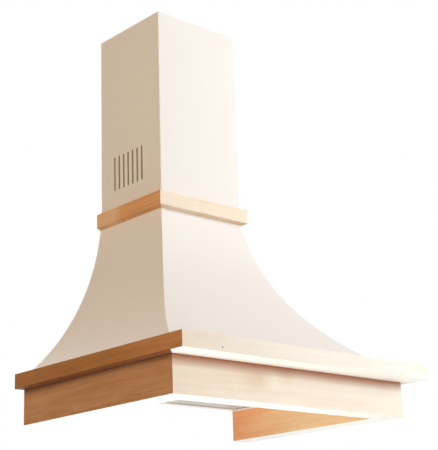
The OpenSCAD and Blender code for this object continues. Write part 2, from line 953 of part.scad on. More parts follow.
module lamp_lens(side) {
    color([0.97, 0.97, 0.93, 0.6])
        hung()
            translate([side * lamp_x, -strip_y, apron_h - ring_t + ring_lip_t])
                cylinder(r = lamp_can_r - lens_gap, h = lens_t, $fn = 96);
}

// Lamp can: a deep drawn cup over the lens, with a vent ring in its top
module lamp_can(side) {
    z0 = -ring_t + ring_lip_t + lens_t;
    bend = 4;
    bend_in = bend + can_t / 2;
    vents = 8;
    vent_r = 2.2;
    color(zinc)
        hung()
            translate([side * lamp_x, -strip_y, apron_h])
                difference() {
                    rotate_extrude($fn = 96)
                        polygon([[lamp_can_r - can_t, z0], [lamp_can_r, z0], [lamp_can_r, lamp_can_h - bend],
                            [lamp_can_r - bend, lamp_can_h], [0, lamp_can_h], [0, lamp_can_h - can_t],
                            [lamp_can_r - bend_in, lamp_can_h - can_t],
                            [lamp_can_r - can_t, lamp_can_h - bend_in]]);
                    for (i = [0:vents - 1])
                        rotate([0, 0, i * 360 / vents])
                            translate([0.6 * lamp_can_r, 0, lamp_can_h - can_t - through])
                                cylinder(r = vent_r, h = can_t + 2 * through, $fn = 24);
                }
}

// Capsule bulb with its holder, hanging from the top of the can
module lamp_bulb(side) {
    holder_r = 9;
    holder_h = 14;
    capsule_r = 5.5;
    lens_clear = 10;
    capsule_h = lamp_can_h - can_t - holder_h - lens_clear;
    color([1, 0.98, 0.9])
        hung()
            translate([side * lamp_x, -strip_y, apron_h + lamp_can_h - can_t])
                rotate_extrude($fn = 64)
                    polygon(concat([[0, 0], [holder_r, 0], [holder_r, -holder_h], [capsule_r, -holder_h]],
                        arc_points([0, -holder_h - capsule_h + capsule_r], capsule_r, 0, -90, 8)));
}

module lamp_left_ring() {
    lamp_ring(-1);
}

module lamp_left_lens() {
    lamp_lens(-1);
}

module lamp_left_can() {
    lamp_can(-1);
}

module lamp_left_bulb() {
    lamp_bulb(-1);
}

module lamp_right_ring() {
    lamp_ring(1);
}

module lamp_right_lens() {
    lamp_lens(1);
}

module lamp_right_can() {
    lamp_can(1);
}

module lamp_right_bulb() {
    lamp_bulb(1);
}

// Flue cover: front and sides folded from one sheet, with two folds along the wall
module cover_prism(inset, z, h) {
    half = cover_w / 2 - inset;
    r = cover_bend_r - inset;
    corner = cover_w / 2 - cover_bend_r;
    translate([-half, -cover_d + cover_bend_r, z])
        cube([2 * half, cover_d - cover_bend_r - cover_back - inset, h]);
    translate([-corner, -cover_d + inset, z])
        cube([2 * corner, cover_bend_r, h]);
    for (side = [-1, 1])
        rod_z(side * corner, -cover_d + cover_bend_r, z, r, h);
}

module chimney_cover() {
    fold_top = bracket_z - fold_clear;
    open_half = cover_w / 2 - cover_fold_w;
    inner_half_w = cover_w / 2 - sheet_t;
    slot_z = dome_top + slot_rise + slot_w / 2;
    color(paint)
        hung()
            difference() {
                cover_prism(0, cover_z, cover_h);
                cover_prism(sheet_t, cover_z - through, cover_h + 2 * through);
                translate([-open_half, -cover_back - 2 * sheet_t, cover_z - through])
                    cube([2 * open_half, 3 * sheet_t, cover_h + 2 * through]);
                translate([-inner_half_w, -cover_back - 2 * sheet_t, fold_top])
                    cube([2 * inner_half_w, 3 * sheet_t, cover_top - fold_top + through]);
                for (i = [0:slot_count - 1])
                    translate([-cover_w / 2 - through, -slot_first - i * slot_pitch, slot_z]) {
                        translate([0, -slot_w / 2, 0])
                            cube([cover_w + 2 * through, slot_w, slot_h - slot_w]);
                        for (end = [0, slot_h - slot_w])
                            rod_x(0, 0, end, slot_w / 2, cover_w + 2 * through);
                    }
                rod_x(-cover_w / 2 - through, -cover_screw_y, cover_screw_z, sheet_screw_r + screw_gap,
                    cover_w + 2 * through);
            }
}

// Wall bracket inside the top of the cover: a strip with two ears
module chimney_bracket() {
    color(zinc)
        hung()
            difference() {
                translate([-bracket_half, -bracket_ear, bracket_z])
                    cube([2 * bracket_half, bracket_ear, bracket_h]);
                translate([-bracket_half + bracket_t, -bracket_ear - through, bracket_z - through])
                    cube([2 * (bracket_half - bracket_t), bracket_ear + through - bracket_t,
                        bracket_h + 2 * through]);
                for (side = [-1, 1])
                    rod_y(side * bracket_spacing / 2, through, cover_screw_z, bracket_hole_r,
                        bracket_t + 2 * through);
                rod_x(-bracket_half - through, -cover_screw_y, cover_screw_z, sheet_screw_r + screw_gap,
                    2 * (bracket_half + through));
            }
}

module chimney_screws() {
    tip_out = 3;
    shank = sheet_t + seat_gap + bracket_t + tip_out;
    color(bright_steel)
        hung()
            for (side = [-1, 1])
                sided(side) {
                    rod_x(cover_w / 2, -cover_screw_y, cover_screw_z, sheet_head_r, head_h);
                    rod_x(cover_w / 2 - shank, -cover_screw_y, cover_screw_z, sheet_screw_r, shank);
                }
}

// The blower is drawn about the impeller's axis, y towards the wall and z up
module blower() {
    hung()
        translate([0, -blower_y, blower_z])
            children();
}

// A quarter disc about a centre in the y-z plane, drawn as a slab from x0
module quarter(cy, cz, r, sy, sz, x0, w) {
    intersection() {
        rod_big_x(x0, cy, cz, r, w);
        translate([x0 - through, sy > 0 ? cy : cy - 2 * r, sz > 0 ? cz : cz - 2 * r])
            cube([w + 2 * through, 2 * r, 2 * r]);
    }
}

module rod_big_x(x, y, z, r, len) {
    translate([x, y, z])
        rotate([0, 90, 0])
            cylinder(r = r, h = len, $fn = 120);
}

// The volute grows by one step each quarter turn: each arc starts from a corner
// of a small square, so that the arcs meet without a kink. Then it rises
// straight to the outlet. grow moves the whole outline outwards.
module volute(grow, x0, w) {
    h = volute_step / 2;
    core = volute_r * 0.6;
    quarter(h, -h, volute_r + grow, 1, 1, x0, w);
    quarter(-h, -h, volute_r + volute_step + grow, 1, -1, x0, w);
    quarter(-h, h, volute_r + 2 * volute_step + grow, -1, -1, x0, w);
    translate([x0, -core, -core])
        cube([w, 2 * core, 2 * core]);
    translate([x0, -throat_front - grow, h])
        cube([w, throat_front + throat_back + 2 * grow, outlet_z - h]);
}

module volute_wrapper() {
    color(zinc)
        blower()
            difference() {
                volute(volute_t, -side_plate_x, volute_w);
                volute(0, -side_plate_x - through, volute_w + 2 * through);
                translate([-side_plate_x - through, -throat_front, outlet_z - through])
                    cube([volute_w + 2 * through, throat_front + throat_back, 2 * through]);
            }
}

// Side plate: the volute's outline with a rim, a rolled inlet and a mounting foot
module volute_plate(side) {
    x0 = side_plate_x;
    color(zinc)
        blower()
            sided(side)
                difference() {
                    union() {
                        difference() {
                            union() {
                                volute(volute_t + plate_rim, x0, volute_t);
                                translate([x0, volute_r / 2, -foot_z])
                                    cube([volute_t, foot_back - volute_r / 2, 2 * foot_z]);
                            }
                            rod_x(x0 - through, 0, 0, inlet_r + bell_r, volute_t + 2 * through);
                        }
                        translate([x0 + volute_t, 0, 0])
                            rotate([0, 90, 0])
                                rotate_extrude($fn = 120)
                                    bell_section();
                        translate([x0, foot_back - volute_t, -foot_z])
                            cube([volute_t + foot_w, volute_t, 2 * foot_z]);
                    }
                    for (up = [-1, 1])
                        rod_y(foot_screw_x, foot_back + through, up * foot_screw_z, sheet_screw_r + screw_gap,
                            volute_t + 2 * through);
                }
}

// Quarter ring that turns the plate's face into the inlet
module bell_section() {
    intersection() {
        translate([inlet_r + bell_r, -bell_r])
            difference() {
                circle(r = bell_r, $fn = 64);
                circle(r = bell_r - volute_t, $fn = 64);
            }
        translate([inlet_r - through, -bell_r])
            square([bell_r + through, bell_r + through]);
    }
}

module volute_left_plate() {
    volute_plate(-1);
}

module volute_right_plate() {
    volute_plate(1);
}

module blower_screws() {
    head_y = foot_back - volute_t;
    color(bright_steel)
        blower()
            for (side = [-1, 1], up = [-1, 1]) {
                rod_y(side * foot_screw_x, head_y, up * foot_screw_z, sheet_head_r, head_h);
                rod_y(side * foot_screw_x, blower_y - tip_gap, up * foot_screw_z, sheet_screw_r,
                    back_t + volute_t - tip_gap);
            }
}

// Collar that the duct slides over, with a stop ring for the damper leaves
module outlet_collar() {
    stop_t = 1;
    stop_w = 3;
    stop_z = pin_z - leaf_t / 2 - seat_gap - stop_t;
    tube_z = outlet_z + volute_t;
    flange_half = side_plate_x + volute_t + plate_rim;
    color(zinc)
        blower()
            difference() {
                union() {
                    translate([-flange_half, -throat_front - volute_t - plate_rim, outlet_z])
                        cube([2 * flange_half, throat_front + throat_back + 2 * (volute_t + plate_rim),
                            volute_t]);
                    rod_z(0, collar_y, tube_z, collar_r, collar_h);
                }
                rod_z(0, collar_y, outlet_z - through, collar_r - collar_t, stop_z - outlet_z + through);
                rod_z(0, collar_y, stop_z - through, collar_r - collar_t - stop_w, stop_t + 2 * through);
                rod_z(0, collar_y, stop_z + stop_t, collar_r - collar_t, collar_h);
                rod_x(-collar_r - through, collar_y, pin_z, pin_r + pin_gap / 2, 2 * (collar_r + through));
            }
}

module damper_pin() {
    color(bright_steel)
        blower()
            rod_x(-collar_r, collar_y, pin_z, pin_r, 2 * collar_r);
}

// Half-round damper leaf with two knuckles, which take turns with those of the
// other leaf along the pin. side is 1 towards the wall.
module damper_leaf(side) {
    edge = knuckle_r + leaf_play;
    web_y = pin_r + pin_gap + knuckle_t / 2;
    web_d = edge + through - web_y;
    color(bright_steel)
        blower()
            translate([0, collar_y, pin_z])
                difference() {
                    union() {
                        intersection() {
                            rod_z(0, 0, -leaf_t / 2, leaf_r, leaf_t);
                            translate([-leaf_r, side > 0 ? edge : -edge - leaf_r, -leaf_t])
                                cube([2 * leaf_r, leaf_r, 2 * leaf_t]);
                        }
                        for (turn = [-1.5, 0.5])
                            translate([side * turn * knuckle_pitch - knuckle_w / 2, 0, 0]) {
                                rod_x(0, 0, 0, knuckle_r, knuckle_w);
                                translate([0, side > 0 ? web_y : -web_y - web_d, -leaf_t / 2])
                                    cube([knuckle_w, web_d, leaf_t]);
                            }
                    }
                    rod_x(-leaf_r, 0, 0, pin_r + pin_gap, 2 * leaf_r);
                }
}

module damper_front() {
    damper_leaf(-1);
}

module damper_rear() {
    damper_leaf(1);
}

// Radius of a blade's line at share t of its depth, and its angle there: the blade
// starts straight at the inner edge and leans forward ever more towards the outer.
function blade_r(t) = impeller_r - blade_inset - blade_depth * t;
function blade_a(t) = blade_sweep * pow(1 - t, 2);

// Outline of one forward-curved blade, from the outer edge to the inner and back
function blade_points() =
    let (n = 5)
    concat(
        [for (i = [0:n]) blade_r(i / n) * [cos(blade_a(i / n)), sin(blade_a(i / n))]],
        [for (i = [n:-1:0]) let (t = i / n, a = blade_a(t) + blade_t / blade_r(t) * 180 / PI)
            blade_r(t) * [cos(a), sin(a)]]);

// One cage of the double-inlet impeller, from x0 to x1: blades and an end ring
module impeller_cage(x0, x1, ring_x) {
    color(dark_plastic)
        blower()
            rotate([0, 90, 0]) {
                translate([0, 0, x0])
                    linear_extrude(x1 - x0)
                        for (i = [0:blade_count - 1])
                            rotate(i * 360 / blade_count)
                                polygon(blade_points());
                translate([0, 0, ring_x])
                    difference() {
                        cylinder(r = impeller_r, h = cage_ring_t, $fn = 120);
                        translate([0, 0, -through])
                            cylinder(r = impeller_r - blade_depth - cage_ring_lap,
                                h = cage_ring_t + 2 * through, $fn = 120);
                    }
            }
}

module impeller_left_cage() {
    impeller_cage(-cage_half, disc_x, -cage_half);
}

module impeller_right_cage() {
    impeller_cage(disc_x + disc_t, cage_half, cage_half - cage_ring_t);
}

// Middle disc with its hub, which carries both cages on the shaft
module impeller_disc() {
    color(dark_plastic)
        blower()
            rotate([0, 90, 0])
                difference() {
                    union() {
                        translate([0, 0, disc_x])
                            cylinder(r = impeller_r, h = disc_t, $fn = 120);
                        translate([0, 0, disc_x - hub_back])
                            cylinder(r = hub_r, h = hub_len, $fn = 64);
                    }
                    translate([0, 0, -motor_x])
                        cylinder(r = shaft_r, h = 2 * motor_x, $fn = 48);
                }
}

// Shaft that runs through the motor and ends in the impeller's hub
module motor_shaft() {
    color(bright_steel)
        blower()
            rod_x(-motor_x - shaft_tail, 0, 0, shaft_r, motor_x + shaft_tail + shaft_end);
}

// Motor can with domed ends, cooling slots and a bearing bore
module motor_housing() {
    end_h = 6;
    crown_h = 2;
    boss_r = 0.55 * motor_r;
    shoulder_r = 0.86 * motor_r;
    bore_r = shaft_r + shaft_gap;
    slots = 10;
    slot_from = 0.4 * motor_r;
    slot_len = 0.35 * motor_r;
    slot_wide = 3;
    color([0.35, 0.37, 0.4])
        blower()
            translate([-motor_x, 0, 0])
                rotate([0, 90, 0])
                    difference() {
                        rotate_extrude($fn = 96)
                            polygon([[bore_r, 0], [boss_r, 0], [shoulder_r, crown_h],
                                [motor_r, end_h], [motor_r, motor_len - end_h],
                                [shoulder_r, motor_len - crown_h], [boss_r, motor_len], [bore_r, motor_len]]);
                        for (i = [0:slots - 1])
                            rotate([0, 0, i * 360 / slots])
                                translate([slot_from, -slot_wide / 2, -through])
                                    cube([slot_len, slot_wide, end_h + through]);
                    }
}

// Ring round the motor with three arms that reach over the left inlet
module motor_bracket() {
    ring_w = 14;
    ring_wall = 2;
    arm_t = 2;
    arm_w = 12;
    arm_lap = 10;
    arm_r = inlet_r + bell_r + arm_lap;
    arm_r0 = motor_r + ring_wall / 2;
    x0 = -side_plate_x - volute_t;
    color(zinc)
        blower()
            difference() {
                union() {
                    rod_x(x0 - ring_w, 0, 0, motor_r + ring_wall, ring_w);
                    for (i = [0:2])
                        rotate([90 + i * 120, 0, 0])
                            translate([x0 - arm_t, arm_r0, -arm_w / 2])
                                cube([arm_t, arm_r - arm_r0, arm_w]);
                }
                rod_x(x0 - ring_w - through, 0, 0, motor_r, ring_w + 2 * through);
            }
}

// Round capacitor held by a strap on the right side plate
module run_capacitor() {
    plate_x = side_plate_x + volute_t;
    x = plate_x + capacitor_r;
    y = -box_y0 - box_w / 2;
    strap_h = 12;
    strap_t = 1;
    strap_z = box_z + (capacitor_h - strap_h) / 2;
    ear_w = 6;
    ear_t = 1.5;
    color([0.88, 0.88, 0.86])
        blower()
            difference() {
                union() {
                    rod_z(x, y, box_z, capacitor_r, capacitor_h);
                    translate([plate_x, y - capacitor_r - ear_w, strap_z])
                        cube([ear_t, 2 * (capacitor_r + ear_w), strap_h]);
                    rod_z(x, y, strap_z, capacitor_r + strap_t, strap_h);
                    terminal_pair(x, y, box_z + capacitor_h, terminal_gap);
                }
                translate([plate_x - 2 * strap_t, y - capacitor_r - strap_t, box_z - through])
                    cube([2 * strap_t, 2 * (capacitor_r + strap_t), capacitor_h + 2 * through]);
            }
}

// Terminal box on the left side plate, open to the side under its lid
module terminal_box() {
    x1 = -side_plate_x - volute_t;
    wall = 2;
    y0 = -box_y0 - box_w;
    color(dark_plastic)
        blower()
            difference() {
                translate([x1 - box_d, y0, box_z])
                    cube([box_d, box_w, box_h]);
                translate([x1 - box_d - through, y0 + wall, box_z + wall])
                    cube([box_d - wall + through, box_w - 2 * wall, box_h - 2 * wall]);
                rod_z(x1 - box_d / 2, y0 + box_w / 2, box_z + box_h - 2 * wall, gland_thread_r, 3 * wall);
            }
}

module terminal_lid() {
    x1 = -side_plate_x - volute_t - box_d;
    y0 = -box_y0 - box_w;
    screw_in = 6;
    screw_out = 1.2;
    color(dark_plastic)
        blower() {
            translate([x1 - lid_t, y0, box_z])
                cube([lid_t, box_w, box_h]);
            for (up = [screw_in, box_h - screw_in])
                rod_x(x1 - lid_t - screw_out, y0 + box_w / 2, box_z + up, head_r, screw_out);
        }
}

// Cord gland on top of the terminal box: thread, hexagon and domed nut
module cable_gland() {
    x = -side_plate_x - volute_t - box_d / 2;
    y = -box_y0 - box_w / 2;
    z = box_z + box_h;
    hex_r = 10;
    hex_h = 5;
    nut_r = 8.6;
    nut_top_r = 6.5;
    nut_straight = 7;
    nut_h = gland_h - hex_h;
    color(dark_plastic)
        blower()
            translate([x, y, z])
                difference() {
                    union() {
                        translate([0, 0, -gland_thread_h])
                            cylinder(r = gland_thread_r, h = gland_thread_h, $fn = 64);
                        cylinder(r = hex_r, h = hex_h, $fn = 6);
                        translate([0, 0, hex_h])
                            rotate_extrude($fn = 64)
                                polygon([[0, 0], [nut_r, 0], [nut_r, nut_straight], [nut_top_r, nut_h],
                                    [0, nut_h]]);
                    }
                    translate([0, 0, -gland_thread_h - through])
                        cylinder(r = cord_r, h = gland_h + gland_thread_h + 2 * through, $fn = 48);
                }
}

dome_front_panel();
dome_left_panel();
dome_right_panel();
dome_back_panel();
belt_left();
belt_front();
belt_right();
cornice_left();
cornice_front();
cornice_right();
apron_left();
apron_front();
apron_right();
base_tray();
dome_screws();
tray_screws();
volute_wrapper();
volute_left_plate();
volute_right_plate();
blower_screws();
outlet_collar();
damper_pin();
damper_front();
damper_rear();
impeller_disc();
impeller_left_cage();
impeller_right_cage();
motor_shaft();
motor_housing();
motor_bracket();
run_capacitor();
terminal_box();
terminal_lid();
cable_gland();
control_bezel();
switch_block();
button_1();
button_2();
button_3();
button_4();
button_5();
lamp_left_ring();
lamp_left_lens();
lamp_left_can();
lamp_left_bulb();
lamp_right_ring();
lamp_right_lens();
lamp_right_can();
lamp_right_bulb();
filter_left_frame();
filter_left_mesh();
latch_left();
filter_right_frame();
filter_right_mesh();
latch_right();
chimney_cover();
chimney_bracket();
chimney_screws();
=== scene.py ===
import json
import math

import bmesh
import bpy
from mathutils import Matrix, Vector

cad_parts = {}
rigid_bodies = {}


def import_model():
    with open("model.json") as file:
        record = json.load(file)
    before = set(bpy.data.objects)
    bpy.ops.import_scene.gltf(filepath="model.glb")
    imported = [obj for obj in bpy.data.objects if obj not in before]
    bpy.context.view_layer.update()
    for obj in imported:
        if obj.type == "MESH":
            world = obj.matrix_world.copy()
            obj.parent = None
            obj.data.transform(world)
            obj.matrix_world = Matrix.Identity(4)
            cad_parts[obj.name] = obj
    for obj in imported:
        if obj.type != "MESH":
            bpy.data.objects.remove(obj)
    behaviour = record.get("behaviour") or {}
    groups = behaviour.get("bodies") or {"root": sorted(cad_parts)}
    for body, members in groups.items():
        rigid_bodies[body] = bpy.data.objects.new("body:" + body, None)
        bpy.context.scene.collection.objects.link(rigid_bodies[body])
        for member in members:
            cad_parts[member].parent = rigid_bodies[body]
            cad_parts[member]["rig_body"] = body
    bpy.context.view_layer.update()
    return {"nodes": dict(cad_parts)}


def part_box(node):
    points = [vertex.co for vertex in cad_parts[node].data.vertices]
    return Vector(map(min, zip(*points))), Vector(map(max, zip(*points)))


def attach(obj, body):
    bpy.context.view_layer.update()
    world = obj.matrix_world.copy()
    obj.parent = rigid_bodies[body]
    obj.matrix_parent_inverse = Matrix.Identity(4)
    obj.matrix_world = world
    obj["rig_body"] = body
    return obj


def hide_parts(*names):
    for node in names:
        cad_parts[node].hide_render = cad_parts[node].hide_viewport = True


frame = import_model()
nodes = frame["nodes"]


# Small helpers

def linear(hexText):  # sRGB hex to linear colour with alpha
    parts = [int(hexText[i:i + 2], 16) / 255 for i in (0, 2, 4)]
    return tuple(p / 12.92 if p <= 0.04045 else ((p + 0.055) / 1.055) ** 2.4 for p in parts) + (1.0,)


def addNode(tree, kind, settings=None, links=None):
    # a key in small letters is a property of the node; a capital or a number is a socket
    node = tree.nodes.new(kind)
    values = dict(settings or {})
    for key in [k for k in values if isinstance(k, str) and k[0].islower()]:
        setattr(node, key, values.pop(key))
    for key, value in values.items():
        node.inputs[key].default_value = value
    for key, source in (links or {}).items():
        tree.links.new(source.outputs[0] if hasattr(source, "outputs") else source, node.inputs[key])
    return node


def startMaterial(name, settings):
    material = bpy.data.materials.new(name)
    material.use_nodes = True
    tree = material.node_tree
    tree.nodes.clear()
    shader = addNode(tree, "ShaderNodeBsdfPrincipled", settings)
    addNode(tree, "ShaderNodeOutputMaterial", links={"Surface": shader})
    return material, tree, shader, addNode(tree, "ShaderNodeTexCoord").outputs["Object"]


def feed(tree, shader, **sources):  # links colour, roughness and normal to the shader
    for name, source in sources.items():
        socket = {"colour": "Base Color", "gloss": "Roughness", "bump": "Normal"}[name]
        tree.links.new(source, shader.inputs[socket])


def startTree(name, inputs):  # a Geometry Nodes tree with named inputs
    tree = bpy.data.node_groups.new(name, "GeometryNodeTree")
    tree.interface.new_socket("Geometry", in_out="INPUT", socket_type="NodeSocketGeometry")
    for label, kind in inputs.items():
        tree.interface.new_socket(label, in_out="INPUT", socket_type="NodeSocket" + kind)
    tree.interface.new_socket("Geometry", in_out="OUTPUT", socket_type="NodeSocketGeometry")
    return tree, addNode(tree, "NodeGroupInput").outputs


def endTree(tree, given, geometry):
    realized = addNode(tree, "GeometryNodeRealizeInstances", links={0: geometry})
    dressed = addNode(tree, "GeometryNodeSetMaterial",
                      links={"Geometry": realized, "Material": given["Finish"]})
    addNode(tree, "NodeGroupOutput", links={0: dressed})


def bakeTree(name, base, tree, values, wall=0.0, wallOffset=-1.0):  # runs the tree and keeps the plain mesh
    piece = bpy.data.objects.new(name, base)
    bpy.context.scene.collection.objects.link(piece)
    modifier = piece.modifiers.new(name, "NODES")
    modifier.node_group = tree
    for item in tree.interface.items_tree:
        if item.in_out == "INPUT" and item.name in values:
            modifier[item.identifier] = values[item.name]
    if wall:
        solid = piece.modifiers.new("wall", "SOLIDIFY")
        solid.thickness = wall
        solid.offset = wallOffset
        solid.use_even_offset = True
    made = bpy.data.meshes.new_from_object(piece.evaluated_get(bpy.context.evaluated_depsgraph_get()))
    piece.modifiers.clear()
    piece.data = made
    return piece


def standFor(piece, *stoodFor):  # rides on the body of the CAD nodes and takes their place
    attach(piece, nodes[stoodFor[0]]["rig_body"])
    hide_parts(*stoodFor)


# Materials: each starts from what the real piece is and how its surface was made

def powderCoat(name):
    # Polyester powder baked on folded steel: an even satin ivory with a faint orange peel
    peelSize = 0.0022  # metres between two bumps of the peel
    material, tree, shader, place = startMaterial(name, {"Roughness": 0.4, "Coat Weight": 0.05,
                                                         "Coat Roughness": 0.25})
    cloud = addNode(tree, "ShaderNodeTexNoise", {"Scale": 4.0, "Detail": 3.0}, {"Vector": place})
    colour = addNode(tree, "ShaderNodeMix", {"data_type": "RGBA", 6: linear("F8EFE7"), 7: linear("F5EBE1")},
                     {0: cloud})
    peel = addNode(tree, "ShaderNodeTexNoise", {"Scale": 1 / peelSize, "Detail": 1.0}, {"Vector": place})
    gloss = addNode(tree, "ShaderNodeMapRange", {1: 0.3, 2: 0.7, 3: 0.36, 4: 0.44}, {0: peel})
    bump = addNode(tree, "ShaderNodeBump", {"Strength": 0.1, "Distance": 0.0003}, {"Height": peel})
    feed(tree, shader, colour=colour.outputs[2], gloss=gloss.outputs[0], bump=bump.outputs[0])
    return material


def beech(name, along, tones, sealed, shift, joints=(), spots=(), fades=()):
    # Beech staves, lacquered in front and waxed at the sides: straight grain, fine fibres and short
    # brown rays. Across the grain rings are 28 mm, clouds 33 mm, streaks 5 mm and fibres under 1 mm wide,
    # and a ray is 5 mm long; fibres and rays are drawn somewhat coarser than life so that they show. Each
    # board has its own shift.
    material, tree, shader, place = startMaterial(name, sealed)
    axis = "xyz".index(along)
    patterns = {  # counts per metre along the grain and across it, and the detail
        "rings": (1.3, 36.0, 2.0), "clouds": (9.0, 30.0, 2.0), "streaks": (6.0, 210.0, 3.0),
        "fibres": (30.0, 1400.0, 2.0)}
    rayCount = {"along": 200.0, "across": 820.0}
    finger = {"half": 0.0031, "slope": 3.0}  # half a tooth's width, and depth over half width
    made = {}
    for pattern, (length, width, detail) in patterns.items():
        counts = [width] * 3
        counts[axis] = length
        stretched = addNode(tree, "ShaderNodeMapping", {"Scale": counts, "Location": (shift, shift, shift)},
                            {"Vector": place})
        made[pattern] = addNode(tree, "ShaderNodeTexNoise",
                                {"Scale": 1.0, "Detail": detail, "Roughness": 0.6}, {"Vector": stretched})
    wide = addNode(tree, "ShaderNodeMapRange", {1: 0.3, 2: 0.7, 3: 0.0, 4: 0.4}, {0: made["rings"]})
    cloudy = addNode(tree, "ShaderNodeMapRange", {1: 0.3, 2: 0.7, 3: -0.1, 4: 0.4}, {0: made["clouds"]})
    narrow = addNode(tree, "ShaderNodeMapRange", {1: 0.38, 2: 0.72, 3: -0.1, 4: 0.45}, {0: made["streaks"]})
    fine = addNode(tree, "ShaderNodeMapRange", {1: 0.3, 2: 0.7, 3: -0.1, 4: 0.16}, {0: made["fibres"]})
    broad = addNode(tree, "ShaderNodeMath", {"operation": "ADD"}, {0: wide, 1: cloudy})
    both = addNode(tree, "ShaderNodeMath", {"operation": "ADD"}, {0: broad, 1: narrow})
    tone = addNode(tree, "ShaderNodeMath", {"operation": "ADD", "use_clamp": True}, {0: both, 1: fine})
    colour = addNode(tree, "ShaderNodeMix", {"data_type": "RGBA", 6: linear(tones[0]), 7: linear(tones[1])},
                     {0: tone}).outputs[2]
    counts = [rayCount["across"]] * 3
    counts[axis] = rayCount["along"]
    rays = addNode(tree, "ShaderNodeMapping", {"Scale": counts}, {"Vector": place})
    cells = addNode(tree, "ShaderNodeTexVoronoi", {"Scale": 1.0}, {"Vector": rays})
    dash = addNode(tree, "ShaderNodeMapRange", {1: 0.12, 2: 0.26, 3: 0.3, 4: 0.0},
                   {0: cells.outputs["Distance"]})
    colour = addNode(tree, "ShaderNodeMix", {"data_type": "RGBA", 7: linear(tones[2])},
                     {0: dash, 6: colour}).outputs[2]
    split = addNode(tree, "ShaderNodeSeparateXYZ", links={0: place})
    for start, beyond, shade in joints:  # a finger joint: another stave starts along a zigzag
        teeth = addNode(tree, "ShaderNodeMath", {"operation": "PINGPONG", 1: finger["half"]},
                        {0: split.outputs[2]})
        edge = addNode(tree, "ShaderNodeMath", {"operation": "MULTIPLY_ADD", 1: finger["slope"]},
                       {0: teeth, 2: split.outputs[axis]})
        past = addNode(tree, "ShaderNodeMath", {"operation": beyond, 1: start}, {0: edge})
        stave = addNode(tree, "ShaderNodeMix", {"data_type": "RGBA", "blend_type": "MULTIPLY", 0: 1.0,
                                                7: linear(shade)}, {6: colour})
        colour = addNode(tree, "ShaderNodeMix", {"data_type": "RGBA"},
                         {0: past, 6: colour, 7: stave.outputs[2]}).outputs[2]
    for centre, core, rim, shade in spots:  # a pin knot, or a soft darker patch
        reach = addNode(tree, "ShaderNodeVectorMath", {"operation": "DISTANCE", 1: centre}, {0: place})
        dark = addNode(tree, "ShaderNodeMapRange", {1: core, 2: rim, 3: 1.0, 4: 0.0},
                       {0: reach.outputs["Value"]})
        colour = addNode(tree, "ShaderNodeMix",
                         {"data_type": "RGBA", "blend_type": "MULTIPLY", 7: linear(shade)},
                         {0: dark, 6: colour}).outputs[2]
    for way, begin, end, shade in fades:  # painted shade towards a seam, a foot or one end of the board
        share = addNode(tree, "ShaderNodeMapRange", {1: begin, 2: end}, {0: split.outputs["xyz".index(way)]})
        colour = addNode(tree, "ShaderNodeMix",
                         {"data_type": "RGBA", "blend_type": "MULTIPLY", 7: linear(shade)},
                         {0: share, 6: colour}).outputs[2]
    rough = sealed["Roughness"]
    gloss = addNode(tree, "ShaderNodeMapRange", {1: 0.3, 2: 0.7, 3: rough - 0.06, 4: rough + 0.06},
                    {0: made["fibres"]})
    bump = addNode(tree, "ShaderNodeBump", {"Strength": 0.12, "Distance": 0.0002}, {"Height": made["fibres"]})
    feed(tree, shader, colour=colour, gloss=gloss.outputs[0], bump=bump.outputs[0])
    return material


def litUndersideFinish(name):
    # Painted light from below on the faces that look down: nearly white, with a light roller texture
    rollerMark = 0.0028
    material, tree, shader, place = startMaterial(name, {"Roughness": 0.45, "Coat Weight": 0.15,
                                                         "Coat Roughness": 0.3})
    mark = addNode(tree, "ShaderNodeTexNoise", {"Scale": 1 / rollerMark, "Detail": 2.0}, {"Vector": place})
    colour = addNode(tree, "ShaderNodeMix", {"data_type": "RGBA", 6: linear("FCFBF7"), 7: linear("F5F2EB")},
                     {0: mark})
    bump = addNode(tree, "ShaderNodeBump", {"Strength": 0.08, "Distance": 0.0003}, {"Height": mark})
    feed(tree, shader, colour=colour.outputs[2], bump=bump.outputs[0])
    return material


def drawnMetal(name, tones, counts, rough, metallic=1.0):
    # Brushed, rolled or drawn metal: hairlines that stretch the highlight along one axis
    material, tree, shader, place = startMaterial(name, {"Metallic": metallic, "Roughness": rough[0]})
    stretched = addNode(tree, "ShaderNodeMapping", {"Scale": counts}, {"Vector": place})
    lines = addNode(tree, "ShaderNodeTexNoise", {"Scale": 1.0, "Detail": 3.0, "Roughness": 0.7},
                    {"Vector": stretched})
    colour = addNode(tree, "ShaderNodeMix", {"data_type": "RGBA", 6: linear(tones[0]), 7: linear(tones[1])},
                     {0: lines})
    gloss = addNode(tree, "ShaderNodeMapRange", {1: 0.3, 2: 0.7, 3: rough[0], 4: rough[1]}, {0: lines})
    bump = addNode(tree, "ShaderNodeBump", {"Strength": 0.07, "Distance": 0.0001}, {"Height": lines})
    feed(tree, shader, colour=colour.outputs[2], gloss=gloss.outputs[0], bump=bump.outputs[0])
    return material


def zincSheet(name):
    # Hot-dip galvanised sheet: spangles about 9 mm across, each with its own grey and its own gloss
    spangle = 0.009
    material, tree, shader, place = startMaterial(name, {"Metallic": 0.9, "Roughness": 0.4})
    cells = addNode(tree, "ShaderNodeTexVoronoi", {"Scale": 1 / spangle}, {"Vector": place})
    shade = addNode(tree, "ShaderNodeSeparateColor", links={0: cells.outputs["Color"]})
    colour = addNode(tree, "ShaderNodeMix", {"data_type": "RGBA", 6: linear("BBC0C4"), 7: linear("9CA2A7")},
                     {0: shade})
    gloss = addNode(tree, "ShaderNodeMapRange", {3: 0.28, 4: 0.5}, {0: shade.outputs[1]})
    bump = addNode(tree, "ShaderNodeBump", {"Strength": 0.05, "Distance": 0.0002},
                   {"Height": cells.outputs["Distance"]})
    feed(tree, shader, colour=colour.outputs[2], gloss=gloss.outputs[0], bump=bump.outputs[0])
    return material


